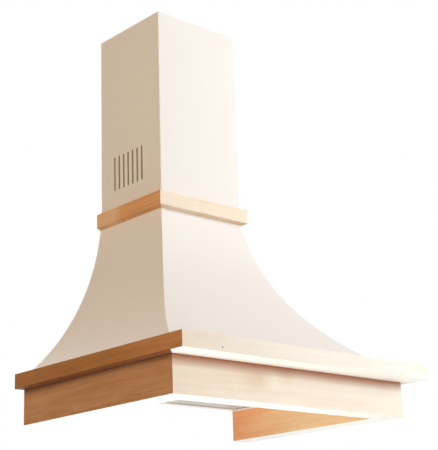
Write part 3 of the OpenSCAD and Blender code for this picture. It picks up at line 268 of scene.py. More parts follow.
def shadeGauzeFinish(name):
    # Bronzed wire cloth, dark warm brown as painted shade for the shaded inside behind the slots, with
    # over-and-under wires; the real pitch of 1.3 mm is drawn at 2.6 mm so that the weave shows
    pitch = 0.0026
    material, tree, shader, place = startMaterial(name, {"Metallic": 0.4, "Roughness": 0.55})
    split = addNode(tree, "ShaderNodeSeparateXYZ", links={0: place})
    wires = []
    for axis in (1, 2):
        turns = addNode(tree, "ShaderNodeMath", {"operation": "MULTIPLY", 1: 2 * math.pi / pitch},
                        {0: split.outputs[axis]})
        wires.append(addNode(tree, "ShaderNodeMath", {"operation": "SINE"}, {0: turns}))
    weave = addNode(tree, "ShaderNodeMath", {"operation": "MULTIPLY"}, {0: wires[0], 1: wires[1]})
    share = addNode(tree, "ShaderNodeMapRange", {1: -0.8, 2: 0.8}, {0: weave})
    colour = addNode(tree, "ShaderNodeMix", {"data_type": "RGBA", 6: linear("6E5943"), 7: linear("A2886B")},
                     {0: share})
    bump = addNode(tree, "ShaderNodeBump", {"Strength": 0.4, "Distance": 0.0004}, {"Height": weave})
    feed(tree, shader, colour=colour.outputs[2], bump=bump.outputs[0])
    return material


def mouldedPlastic(name, tones, rough, grain):
    # Injection-moulded plastic with a spark-eroded grain of the given size in metres
    material, tree, shader, place = startMaterial(name, {"Roughness": rough, "IOR": 1.53})
    pits = addNode(tree, "ShaderNodeTexNoise", {"Scale": 1 / grain, "Detail": 2.0}, {"Vector": place})
    cloud = addNode(tree, "ShaderNodeTexNoise", {"Scale": 35.0, "Detail": 2.0}, {"Vector": place})
    colour = addNode(tree, "ShaderNodeMix", {"data_type": "RGBA", 6: linear(tones[0]), 7: linear(tones[1])},
                     {0: cloud})
    gloss = addNode(tree, "ShaderNodeMapRange", {1: 0.3, 2: 0.7, 3: rough - 0.07, 4: rough + 0.07}, {0: pits})
    bump = addNode(tree, "ShaderNodeBump", {"Strength": 0.12, "Distance": 0.0003}, {"Height": pits})
    feed(tree, shader, colour=colour.outputs[2], gloss=gloss.outputs[0], bump=bump.outputs[0])
    return material


def pressedGlass(name, tint, rough):
    # Pressed lamp glass; a rough one is acid etched, so it glows white and hides the bulb
    material, tree, shader, place = startMaterial(name, {"Transmission Weight": 0.85, "IOR": 1.5,
                                                         "Roughness": rough})
    etched = addNode(tree, "ShaderNodeTexNoise", {"Scale": 900.0, "Detail": 2.0}, {"Vector": place})
    colour = addNode(tree, "ShaderNodeMix", {"data_type": "RGBA", 6: linear(tint), 7: linear("F4F6F4")},
                     {0: etched})
    gloss = addNode(tree, "ShaderNodeMapRange", {1: 0.3, 2: 0.7, 3: rough, 4: rough + 0.1}, {0: etched})
    feed(tree, shader, colour=colour.outputs[2], gloss=gloss.outputs[0])
    return material


# one beech: the front rows paler as painted light, the sides darker as painted shade, the inner side between
beechTones = {  # light wood, dark wood, rays
    "beltLitFront": ("FCE9D2", "F4D7B6", "DCB183"),
    "corniceLitFront": ("FCF2E7", "F6E4CF", "DEB890"),
    "apronLitFront": ("FBEBD8", "F4DEC4", "DCB18A"),
    "beltShadedSide": ("FED2A9", "EDB484", "CA8E5E"),
    "corniceShadedSide": ("CE915D", "B4743E", "90562B"),
    "apronShadedSide": ("CA976C", "B17A4C", "905C36"),
    "innerLitSide": ("FFE2B3", "FAC791", "D3A16C"),
}
lacquered = {"Roughness": 0.38, "Specular IOR Level": 0.4, "Coat Weight": 0.2, "Coat Roughness": 0.16}
waxed = {"Roughness": 0.5, "Specular IOR Level": 0.16}
seam = -0.3725  # height where the cornice sits in front of the apron
apronPlane, cornicePlane = -0.5, -0.559  # how far out the front faces of the two lie
# fades, each painted shade: axis, where it begins, where it is full, and the shade it multiplies by
# painted shadow of the cornice's overhang on the apron front, deepest at the seam
overhangShadow = ("z", seam - 0.024, seam, "B86200")
# painted shade: a thin dark line on the side aprons and inner faces, just below the seam
seamLineShade = ("z", seam - 0.003, seam, "BBB0AC")
# painted shade on the side cornices' underside and lowest millimetre, where the apron shades them
corniceFootShade = ("z", seam + 0.0015, seam + 0.0003, "9B8880")  # painted shade from the lower edge inwards
# painted shade: the front cornice a little warmer and darker towards its left end
leftEndShade = ("x", 0.05, -0.35, "FFF9ED")
# painted shade: the side cornices darker towards the rear
sideRearShade = ("y", -0.5245, -0.33, "DCD5BA")
# painted shade: the inner faces warmer and darker towards the rear
innerRearShade = ("y", -0.25, -0.03, "FFDACB")
# spots: centre, core and rim in metres, shade
pinKnot = ((-0.252, cornicePlane, -0.364), 0.0008, 0.0028, "A38F85")
# soft darker patches on the apron front, just below the cornice
apronDarkPatches = [((-0.13, apronPlane, -0.402), 0.0, 0.04, "F3EBDE"),
             ((-0.1, apronPlane, -0.4), 0.0, 0.034, "F1E7D8"),
             ((-0.03, apronPlane, -0.388), 0.0, 0.034, "F5EEE2")]
looks = {
    "ivoryEnamel": powderCoat("ivoryPowderCoat"),
    "beltLitFront": beech("beltLitFrontBeech", "x", beechTones["beltLitFront"], lacquered, 0.0,
                       [(-0.012, "GREATER_THAN", "FCF8F2")]),
    "beltShadedSide": beech("beltShadedSideBeech", "y", beechTones["beltShadedSide"], waxed, 3.3,
                      [(-0.068, "LESS_THAN", "FAF3EC"), (-0.083, "LESS_THAN", "FBF1E0")]),
    "corniceLitFront": beech("corniceLitFrontBeech", "x", beechTones["corniceLitFront"], lacquered, 6.7,
                          spots=[pinKnot], fades=[leftEndShade]),
    "apronLitFront": beech("apronLitFrontBeech", "x", beechTones["apronLitFront"], lacquered, 9.4, spots=apronDarkPatches,
                        fades=[overhangShadow]),
    "corniceShadedSide": beech("corniceShadedSideBeech", "y", beechTones["corniceShadedSide"], waxed, 12.1,
                         fades=[corniceFootShade, sideRearShade]),
    "apronShadedSide": beech("apronShadedSideBeech", "y", beechTones["apronShadedSide"], waxed, 15.8, fades=[seamLineShade]),
    "innerLitSide": beech("innerLitSideBeech", "y", beechTones["innerLitSide"], waxed, 18.5,
                       fades=[seamLineShade, innerRearShade]),
    "litUnderside": litUndersideFinish("paintedLightUndersideBeech"),
    "traySteel": drawnMetal("brushedStainlessSteel", ("FBF6EE", "EEE8DF"), (9, 900, 900), (0.34, 0.46), 0.15),
    "zincSheet": zincSheet("galvanisedSheet"),
    "aluminium": drawnMetal("rolledAluminium", ("D5D7D9", "B6B9BC"), (25, 400, 400), (0.3, 0.44)),
    "filterMetal": drawnMetal("clearLacqueredAluminium", ("F4EFE9", "E4DDD6"), (25, 400, 400), (0.36, 0.5),
                              0.25),
    "zincPlate": drawnMetal("brightZincPlating", ("DADCDF", "C2C5C9"), (260, 260, 260), (0.16, 0.3)),
    "chrome": drawnMetal("polishedChromePlating", ("EEEFF0", "E2E4E6"), (90, 90, 90), (0.05, 0.1)),
    "satinSilver": drawnMetal("satinSilverLacquer", ("CCCED0", "BCBEC1"), (700, 700, 700), (0.26, 0.36)),
    "slotShadeSheet": shadeGauzeFinish("paintedShadeWireGauze"),
    "blackPlastic": mouldedPlastic("blackMouldedAbs", ("1E1E20", "17171A"), 0.45, 0.0008),
    "greyPlastic": mouldedPlastic("greyMouldedPolypropylene", ("D8D8D3", "CECEC8"), 0.38, 0.001),
    "motorPaint": mouldedPlastic("stovedMotorEnamel", ("4A4F57", "3F444C"), 0.34, 0.0018),
    "frostedGlass": pressedGlass("etchedLensGlass", "FBFBF4", 0.4),
    "clearGlass": pressedGlass("clearBulbGlass", "FFFCF0", 0.05),
}
print("materials made:", len(looks))


# Boards, laths and small mouldings: copies of CAD nodes with their edges eased

easedEdges = {"board": 0.0009, "lath": 0.0006, "plastic": 0.0004, "button": 0.0005, "sheet": 0.0003}
# weld: nearer points become one; flat: faces within this angle become one; shade: degrees added to the
# sharp angle, where the shading breaks
mend = {"weld": 2e-6, "flat": math.radians(0.6), "shade": 7}
# the photograph's boards are crisper below than the solids: the round under the cornice is filled out
# to a corner, and the bevel under the belt is lower
crisp = {"corniceRound": 0.0071, "beltBevel": 0.0072, "beltBevelSeen": 0.0044, "close": 0.0001}
corniceLow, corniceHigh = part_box("cornice_front")
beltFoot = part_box("belt_front")[0][2]


def fillRound(spot):
    atSide = corniceHigh[0] - abs(spot.x) < crisp["corniceRound"]
    inFront = spot.y - corniceLow[1] < crisp["corniceRound"]
    if spot.z - corniceLow[2] < crisp["corniceRound"]:
        spot.x = math.copysign(corniceHigh[0], spot.x) if atSide else spot.x
        spot.y = corniceLow[1] if inFront else spot.y
        spot.z = corniceLow[2] if atSide or inFront else spot.z


def lowerBevel(spot):
    if abs(spot.z - beltFoot - crisp["beltBevel"]) < crisp["close"]:
        spot.z = beltFoot + crisp["beltBevelSeen"]


def soften(node, look, radius, segments=2, sharpAngle=28, others=(), reshape=None):
    # others: a finish for the faces whose normal leans to a direction by more than a limit, on the whole
    # board or only on one side of a cut (its place and direction); reshape moves single points first
    mesh = nodes[node].data.copy()
    shape = bmesh.new()
    shape.from_mesh(mesh)
    if reshape:
        for vert in shape.verts:
            reshape(vert.co)
    bmesh.ops.remove_doubles(shape, verts=shape.verts, dist=mend["weld"])
    bmesh.ops.dissolve_limit(shape, angle_limit=mend["flat"], verts=shape.verts, edges=shape.edges)
    sharp = [e for e in shape.edges if len(e.link_faces) == 2
             and e.calc_face_angle(0) > math.radians(sharpAngle)]
    bmesh.ops.bevel(shape, geom=sharp, offset=radius, segments=segments, affect="EDGES", profile=0.5,
                    clamp_overlap=True)
    for _, _, _, cut in others:
        if cut:
            bmesh.ops.bisect_plane(shape, geom=shape.verts[:] + shape.edges[:] + shape.faces[:],
                                   plane_co=cut[0], plane_no=cut[1])
    shape.normal_update()
    for face in shape.faces:
        face.smooth = True
        face.material_index = 0
        for number, (finish, direction, limit, cut) in enumerate(others, 1):
            ahead = not cut or (face.calc_center_median() - Vector(cut[0])).dot(Vector(cut[1])) < 0
            if ahead and face.normal.dot(Vector(direction)) > limit:
                face.material_index = number
    mesh.materials.clear()
    for finish in [look] + [other[0] for other in others]:
        mesh.materials.append(looks[finish])
    shape.to_mesh(mesh)
    shape.free()
    if "custom_normal" in mesh.attributes:
        mesh.attributes.remove(mesh.attributes["custom_normal"])
    mesh.set_sharp_from_angle(angle=math.radians(sharpAngle + mend["shade"]))
    piece = bpy.data.objects.new(node + "_soft", mesh)
    bpy.context.scene.collection.objects.link(piece)
    # the broad faces shade flat up to their eased edges
    flat = piece.modifiers.new("flat", "WEIGHTED_NORMAL")
    flat.weight = 100
    flat.keep_sharp = True
    made = bpy.data.meshes.new_from_object(piece.evaluated_get(bpy.context.evaluated_depsgraph_get()))
    piece.modifiers.clear()
    piece.data = made
    standFor(piece, node)


apronFace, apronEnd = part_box("apron_front")[0][1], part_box("apron_right")[1][0]
for side, inward in (("left", 1), ("right", -1)):
    soften("belt_" + side, "beltShadedSide", easedEdges["lath"], reshape=lowerBevel)
    # the left underside is painted light only in front of the mitre line through the apron's corner
    mitre = ((-apronEnd, apronFace, 0), (-1, 1, 0)) if side == "left" else None
    soften("cornice_" + side, "corniceShadedSide", easedEdges["board"], reshape=fillRound,
           others=[("litUnderside", (0, 0, -1), 0.8, mitre)])
    soften("apron_" + side, "apronShadedSide", easedEdges["board"],
           others=[("litUnderside", (0, 0, -1), 0.5, None), ("innerLitSide", (inward, 0, 0), 0.8, None)])
soften("belt_front", "beltLitFront", easedEdges["lath"], reshape=lowerBevel)
soften("cornice_front", "corniceLitFront", easedEdges["board"], others=[("litUnderside", (0, 0, -1), 0.8, None)],
       reshape=fillRound)
soften("apron_front", "apronLitFront", easedEdges["board"], others=[("litUnderside", (0, 0, -1), 0.5, None)])
print("boards and laths made")

soften("chimney_cover", "ivoryEnamel", easedEdges["sheet"], 1)
for node in ("control_bezel", "latch_left", "latch_right", "terminal_box", "terminal_lid"):
    soften(node, "blackPlastic", easedEdges["plastic"])
for number in range(1, 6):
    soften(f"button_{number}", "satinSilver", easedEdges["button"])
print("flue cover, controls and latches made")


# Dome: one folded skin whose width and depth follow two hollow arcs as it rises. The front arc is the
# photograph's, up to 7 mm flatter than the solid's

dome = {"flareHeight": 0.358, "sideRadius": 0.551, "frontRadius": 0.500, "sheet": 0.0012,
        "foldRadius": 0.002, "flange": 0.021, "rows": 72, "columns": 41, "foldStart": 0.4, "foldEnd": 0.6,
        "crowding": 3.0, "sharpAngle": math.radians(35)}


def arcCentre(neck, foot, radius):  # centre of the arc from neck to foot, on the side away from the hood
    run = Vector(foot) - Vector(neck)
    rise = math.sqrt(radius ** 2 - run.length_squared / 4) / run.length
    middle = (Vector(neck) + Vector(foot)) / 2
    return middle.x - rise * run.y, middle.y + rise * run.x


def makeDomeTree():
    tree, given = startTree("flaredDome", {
        "Rows": "Int", "Foot Height": "Float", "Flare Height": "Float", "Neck Height": "Float",
        "Side Centre Out": "Float", "Side Centre Up": "Float", "Side Radius": "Float",
        "Front Centre Out": "Float", "Front Centre Up": "Float", "Front Radius": "Float",
        "Fold Radius": "Float", "Flange": "Float", "Back Gap": "Float", "Finish": "Material"})
    grid = addNode(tree, "GeometryNodeMeshGrid", {"Vertices X": dome["columns"]},
                   {"Vertices Y": given["Rows"]})
    uv = addNode(tree, "ShaderNodeSeparateXYZ", links={0: grid.outputs["UV Map"]})
    # across: 0 in the middle of the front, 1 at the wall, and the fold between them
    signed = addNode(tree, "ShaderNodeMath", {"operation": "MULTIPLY_ADD", 1: 2.0, 2: -1.0}, {0: uv})
    hand = addNode(tree, "ShaderNodeMath", {"operation": "SIGN"}, {0: signed})
    across = addNode(tree, "ShaderNodeMath", {"operation": "ABSOLUTE"}, {0: signed})
    # the columns crowd towards the fold, so that the flat faces beside it shade flat
    fromFold = addNode(tree, "ShaderNodeMapRange", {1: 0.0, 2: dome["foldStart"], 3: 1.0, 4: 0.0},
                       {0: across})
    crowded = addNode(tree, "ShaderNodeMath", {"operation": "POWER", 1: dome["crowding"]}, {0: fromFold})
    sideShare = addNode(tree, "ShaderNodeMath", {"operation": "SUBTRACT", 0: 1.0}, {1: crowded})
    pastFold = addNode(tree, "ShaderNodeMapRange", {1: dome["foldEnd"], 2: 1.0}, {0: across})
    crowdedBack = addNode(tree, "ShaderNodeMath", {"operation": "POWER", 1: dome["crowding"]}, {0: pastFold})
    frontShare = addNode(tree, "ShaderNodeMath", {"operation": "SUBTRACT", 0: 1.0}, {1: crowdedBack})
    turn = addNode(tree, "ShaderNodeMapRange", {1: dome["foldStart"], 2: dome["foldEnd"], 4: math.pi / 2},
                   {0: across})
    # row 0 is the inner edge of the foot flange, the last row is the top of the straight neck
    lastRow = addNode(tree, "ShaderNodeMath", {"operation": "SUBTRACT", 1: 1.0}, {0: given["Rows"]})
    neckRow = addNode(tree, "ShaderNodeMath", {"operation": "SUBTRACT", 1: 2.0}, {0: given["Rows"]})
    row = addNode(tree, "ShaderNodeMath", {"operation": "MULTIPLY"}, {0: uv.outputs[1], 1: lastRow})
    flange = addNode(tree, "ShaderNodeMapRange", {1: 0.0, 2: 1.0, 4: 0.0}, {0: row, 3: given["Flange"]})
    risen = addNode(tree, "ShaderNodeMapRange", {1: 1.0}, {0: row, 2: neckRow, 4: given["Flare Height"]})
    flareUp = addNode(tree, "ShaderNodeMath", {"operation": "ADD"}, {0: risen, 1: given["Foot Height"]})
    neckUp = addNode(tree, "ShaderNodeMapRange", {},
                     {0: row, 1: neckRow, 2: lastRow, 4: given["Neck Height"]})
    height = addNode(tree, "ShaderNodeMath", {"operation": "ADD"}, {0: flareUp, 1: neckUp})
    reach = {}
    for face in ("Side", "Front"):  # reach = centre - sqrt(radius^2 - (centre height - height)^2)
        drop = addNode(tree, "ShaderNodeMath", {"operation": "SUBTRACT"},
                       {0: given[face + " Centre Up"], 1: flareUp})
        dropSquare = addNode(tree, "ShaderNodeMath", {"operation": "MULTIPLY"}, {0: drop, 1: drop})
        square = addNode(tree, "ShaderNodeMath", {"operation": "MULTIPLY"},
                         {0: given[face + " Radius"], 1: given[face + " Radius"]})
        rest = addNode(tree, "ShaderNodeMath", {"operation": "SUBTRACT"}, {0: square, 1: dropSquare})
        root = addNode(tree, "ShaderNodeMath", {"operation": "SQRT"}, {0: rest})
        skin = addNode(tree, "ShaderNodeMath", {"operation": "SUBTRACT"},
                       {0: given[face + " Centre Out"], 1: root})
        inset = addNode(tree, "ShaderNodeMath", {"operation": "SUBTRACT"}, {0: skin, 1: flange})
        reach[face] = addNode(tree, "ShaderNodeMath", {"operation": "SUBTRACT"},
                              {0: inset, 1: given["Fold Radius"]})
    foldOut = addNode(tree, "ShaderNodeMath", {"operation": "SINE"}, {0: turn})
    foldFront = addNode(tree, "ShaderNodeMath", {"operation": "COSINE"}, {0: turn})
    flatOut = addNode(tree, "ShaderNodeMath", {"operation": "MULTIPLY"}, {0: reach["Side"], 1: sideShare})
    out = addNode(tree, "ShaderNodeMath", {"operation": "MULTIPLY_ADD"},
                  {0: foldOut, 1: given["Fold Radius"], 2: flatOut})
    placeX = addNode(tree, "ShaderNodeMath", {"operation": "MULTIPLY"}, {0: out, 1: hand})
    clear = addNode(tree, "ShaderNodeMath", {"operation": "SUBTRACT"},
                    {0: reach["Front"], 1: given["Back Gap"]})
    flatFront = addNode(tree, "ShaderNodeMath", {"operation": "MULTIPLY_ADD"},
                        {0: clear, 1: frontShare, 2: given["Back Gap"]})
    forward = addNode(tree, "ShaderNodeMath", {"operation": "MULTIPLY_ADD"},
                      {0: foldFront, 1: given["Fold Radius"], 2: flatFront})
    placeY = addNode(tree, "ShaderNodeMath", {"operation": "MULTIPLY", 1: -1.0}, {0: forward})
    spot = addNode(tree, "ShaderNodeCombineXYZ", links={0: placeX, 1: placeY, 2: height})
    shaped = addNode(tree, "GeometryNodeSetPosition", links={"Geometry": grid, "Position": spot})
    endTree(tree, given, addNode(tree, "GeometryNodeSetShadeSmooth", links={0: shaped}))
    return tree


footLow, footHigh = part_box("dome_front_panel")
neckHalf = -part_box("belt_left")[1][0]
neckDepth = -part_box("belt_front")[1][1]
neckZ = footLow[2] + dome["flareHeight"]
sideOut, sideUp = arcCentre((neckHalf, neckZ), (footHigh[0], footLow[2]), dome["sideRadius"])
frontOut, frontUp = arcCentre((neckDepth, neckZ), (-footLow[1], footLow[2]), dome["frontRadius"])
domeSkin = bakeTree("dome_skin", bpy.data.meshes.new("domeBase"), makeDomeTree(), {
    "Rows": dome["rows"], "Foot Height": footLow[2], "Flare Height": dome["flareHeight"],
    "Neck Height": footHigh[2] - neckZ, "Side Centre Out": sideOut, "Side Centre Up": sideUp,
    "Side Radius": dome["sideRadius"], "Front Centre Out": frontOut, "Front Centre Up": frontUp,
    "Front Radius": dome["frontRadius"], "Fold Radius": dome["foldRadius"], "Flange": dome["flange"],
    "Back Gap": -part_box("dome_left_panel")[1][1], "Finish": looks["ivoryEnamel"]}, wall=dome["sheet"])
domeSkin.data.set_sharp_from_angle(angle=dome["sharpAngle"])
standFor(domeSkin, "dome_front_panel", "dome_left_panel", "dome_right_panel")
print("dome skin made:", len(domeSkin.data.polygons), "faces")


# Gauze behind the flue cover's slots, with a hem folded round its edge; its dark colour is painted shade

slotShadeSheet = {"slotsBack": 0.044, "slotsFront": 0.166, "slotsLow": 0.097, "slotsHigh": 0.1965, "sheet": 0.0012,
         "hem": 0.005, "hemThick": 0.0009, "thick": 0.0004, "eased": 0.00015}
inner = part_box("chimney_cover")[1][0] - slotShadeSheet["sheet"]
for side, name in ((-1, "left"), (1, "right")):
    shape = bmesh.new()
    rings = []
    for inset, depth in ((0.0, 0.0), (0.0, slotShadeSheet["hemThick"]), (slotShadeSheet["hem"], slotShadeSheet["hemThick"]),
                         (slotShadeSheet["hem"], slotShadeSheet["thick"])):
        back, front = slotShadeSheet["slotsBack"] + inset, slotShadeSheet["slotsFront"] - inset
        low, high = slotShadeSheet["slotsLow"] + inset, slotShadeSheet["slotsHigh"] - inset
        rings.append([shape.verts.new((side * (inner - depth), -y, z))
                      for y, z in ((back, low), (front, low), (front, high), (back, high))])
    for first, second in zip(rings, rings[1:]):
        for k in range(4):
            shape.faces.new((first[k], first[(k + 1) % 4], second[(k + 1) % 4], second[k]))
    shape.faces.new(rings[0])
    shape.faces.new(rings[-1])
    bmesh.ops.recalc_face_normals(shape, faces=shape.faces)
    bmesh.ops.bevel(shape, geom=shape.edges[:], offset=slotShadeSheet["eased"], segments=1, affect="EDGES",
                    profile=0.5)
    slotShadeMesh = bpy.data.meshes.new("slotShadeSheet" + name)
    shape.to_mesh(slotShadeMesh)
    shape.free()
    slotShadeMesh.materials.append(looks["slotShadeSheet"])
    piece = bpy.data.objects.new("slot_gauze_" + name, slotShadeMesh)
    bpy.context.scene.collection.objects.link(piece)
    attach(piece, "chimney")
print("slot gauze made")


# Screws: one cross-recessed pan head and threaded shank, set on every screw of a CAD node

screwSets = {  # direction of the head, head radius, head height, shank radius, finish
    "dome_screws": {"aim": (0, 0, 1), "head": 0.003, "rise": 0.0016, "shank": 0.0015, "look": "zincPlate"},
    "tray_screws": {"aim": (0, 0, 1), "head": 0.003, "rise": 0.0016, "shank": 0.0015, "look": "zincPlate"},
    "blower_screws": {"aim": (0, -1, 0), "head": 0.0036, "rise": 0.0016, "shank": 0.002, "look": "zincPlate"},
    "chimney_screws": {"aim": (1, 0, 0), "head": 0.0036, "rise": 0.0016, "shank": 0.002,
                       "look": "ivoryEnamel"},
}
screw = {"pitch": 0.0014, "steps": 20, "core": 0.8, "rim": 0.3, "relief": 0.0001,
         "crown": ((0.4, 0.8, 1.15, 1.4), 0.45, 0.55), "sharpAngle": math.radians(40)}
recess = {"reach": 0.62, "arm": 0.17, "depth": 0.7, "taper": 0.7, "above": 0.0002}  # parts of head and rise


def makeScrew(size, length):
    head, rise, shank = size["head"], size["rise"], size["shank"]
    profile = [(0.0, rise)]
    leans, skirt, arch = screw["crown"]  # the crown curves over the skirt
    profile += [(head * math.sin(a), rise * (skirt + arch * math.cos(a))) for a in leans]
    profile += [(head, rise * screw["rim"]), (head, screw["relief"]), (head - screw["relief"], 0.0),
                (shank, 0.0)]
    turns = max(1, int((length - shank) / screw["pitch"]))
    for i in range(turns):  # ridges stand for the thread
        profile += [(radius * shank, -(i + share) * screw["pitch"])
                    for radius, share in ((screw["core"], 0.2), (1.0, 0.6), (screw["core"], 1.0))]
    profile += [(0.0, -length)]
    shape = bmesh.new()
    steps = screw["steps"]
    rings = []
    for radius, up in profile:
        count = 1 if radius == 0 else steps
        angles = [2 * math.pi * k / steps for k in range(count)]
        rings.append([shape.verts.new((radius * math.cos(a), radius * math.sin(a), up)) for a in angles])
    for upper, lower in zip(rings, rings[1:]):
        for k in range(steps):
            corners = [upper[k % len(upper)], lower[k % len(lower)],
                       lower[(k + 1) % len(lower)], upper[(k + 1) % len(upper)]]
            shape.faces.new(list(dict.fromkeys(corners)))
    screwMesh = bpy.data.meshes.new("screw")
    shape.to_mesh(screwMesh)
    shape.clear()
    reach, arm, top = head * recess["reach"], head * recess["arm"], rise + recess["above"]
    for wide, narrow in ((reach, arm), (arm, reach)):
        corners = [shape.verts.new((sx * wide * k, sy * narrow * k, up))
                   for k, up in ((1, top), (recess["taper"], top - rise * recess["depth"]))
                   for sx, sy in ((-1, -1), (1, -1), (1, 1), (-1, 1))]
        for face in ((0, 1, 2, 3), (7, 6, 5, 4), (0, 4, 5, 1), (1, 5, 6, 2), (2, 6, 7, 3), (3, 7, 4, 0)):
            shape.faces.new([corners[i] for i in face])
    crossMesh = bpy.data.meshes.new("cross")
    shape.to_mesh(crossMesh)
    shape.free()
    blank, cross = bpy.data.objects.new("screw", screwMesh), bpy.data.objects.new("cross", crossMesh)
    for item in (blank, cross):
        bpy.context.scene.collection.objects.link(item)
    cut = blank.modifiers.new("recess", "BOOLEAN")
    cut.object = cross
    cut.use_self = True
    done = bpy.data.meshes.new_from_object(blank.evaluated_get(bpy.context.evaluated_depsgraph_get()))
    for item in (blank, cross):
        bpy.data.objects.remove(item)
    model = bpy.data.objects.new("screwModel", done)
    bpy.context.scene.collection.objects.link(model)
    return model


def makeScrewTree():
    tree, given = startTree("screwSet", {"Screw": "Object", "Finish": "Material"})
    model = addNode(tree, "GeometryNodeObjectInfo", {}, {"Object": given["Screw"]})
    aim = addNode(tree, "GeometryNodeInputNamedAttribute", {"data_type": "FLOAT_VECTOR", "Name": "aim"})
    facing = addNode(tree, "FunctionNodeAlignRotationToVector", {"axis": "Z"}, {"Vector": aim})
    quarter = addNode(tree, "FunctionNodeRandomValue", {"data_type": "FLOAT", 3: math.pi / 2, "Seed": 7})
    spin = addNode(tree, "FunctionNodeAxisAngleToRotation", {"Axis": (0, 0, 1)},
                   {"Angle": quarter.outputs[1]})
    turned = addNode(tree, "FunctionNodeRotateRotation", {"rotation_space": "LOCAL"}, {0: facing, 1: spin})
    placed = addNode(tree, "GeometryNodeInstanceOnPoints", {},
                     {"Points": given["Geometry"], "Instance": model.outputs["Geometry"], "Rotation": turned})
    endTree(tree, given, placed)
    return tree


def looseParts(mesh):  # corner points of each separate solid in a mesh
    shape = bmesh.new()
    shape.from_mesh(mesh)
    bmesh.ops.remove_doubles(shape, verts=shape.verts, dist=mend["weld"])
    left, parts = set(shape.verts), []
    while left:
        waiting, part = [left.pop()], []
        while waiting:
            vert = waiting.pop()
            part.append(vert.co.copy())
            for edge in vert.link_edges:
                other = edge.other_vert(vert)
                if other in left:
                    left.remove(other)
                    waiting.append(other)
        parts.append(part)
    shape.free()
    return sorted(parts, key=lambda part: tuple(round(v, 4) for v in min(part, key=lambda p: tuple(p))))


screwTree = makeScrewTree()
for node, size in screwSets.items():
    spots, aims, length = [], [], 0.0
    for part in looseParts(nodes[node].data):
        aim = Vector(size["aim"])
        if node == "chimney_screws" and part[0].x < 0:
            aim = -aim
        along = [p.dot(aim) for p in part]
        low = Vector([min(p[i] for p in part) for i in range(3)])
        high = Vector([max(p[i] for p in part) for i in range(3)])
        middle = (low + high) / 2
        seat = max(along) - size["rise"]
        spots.append(middle + aim * (seat - middle.dot(aim)))
        aims.append(aim)
        length = seat - min(along)
    base = bpy.data.meshes.new(node + "Points")
    base.from_pydata(spots, [], [])
    base.attributes.new("aim", "FLOAT_VECTOR", "POINT").data.foreach_set(
        "vector", [value for aim in aims for value in aim])
    model = makeScrew(size, length)
    piece = bakeTree(node + "_cross", base, screwTree, {"Screw": model, "Finish": looks[size["look"]]})
    bpy.data.objects.remove(model)
    piece.data.set_sharp_from_angle(angle=screw["sharpAngle"])
    standFor(piece, node)
    print(node, "made:", len(spots), "screws")


# Filter packs: sheets of expanded aluminium, each shifted and stretched against the next

filterPack = {"diamondWidth": 0.0135, "diamondDepth": 0.0082, "rise": 0.0004, "open": 0.76, "sheet": 0.0005,
              "layers": [(0.0, 0.0, 1.0), (0.0035, 0.002, 1.06)], "layerGap": 0.0018, "stand": 0.0007,
              "spareCells": 6}


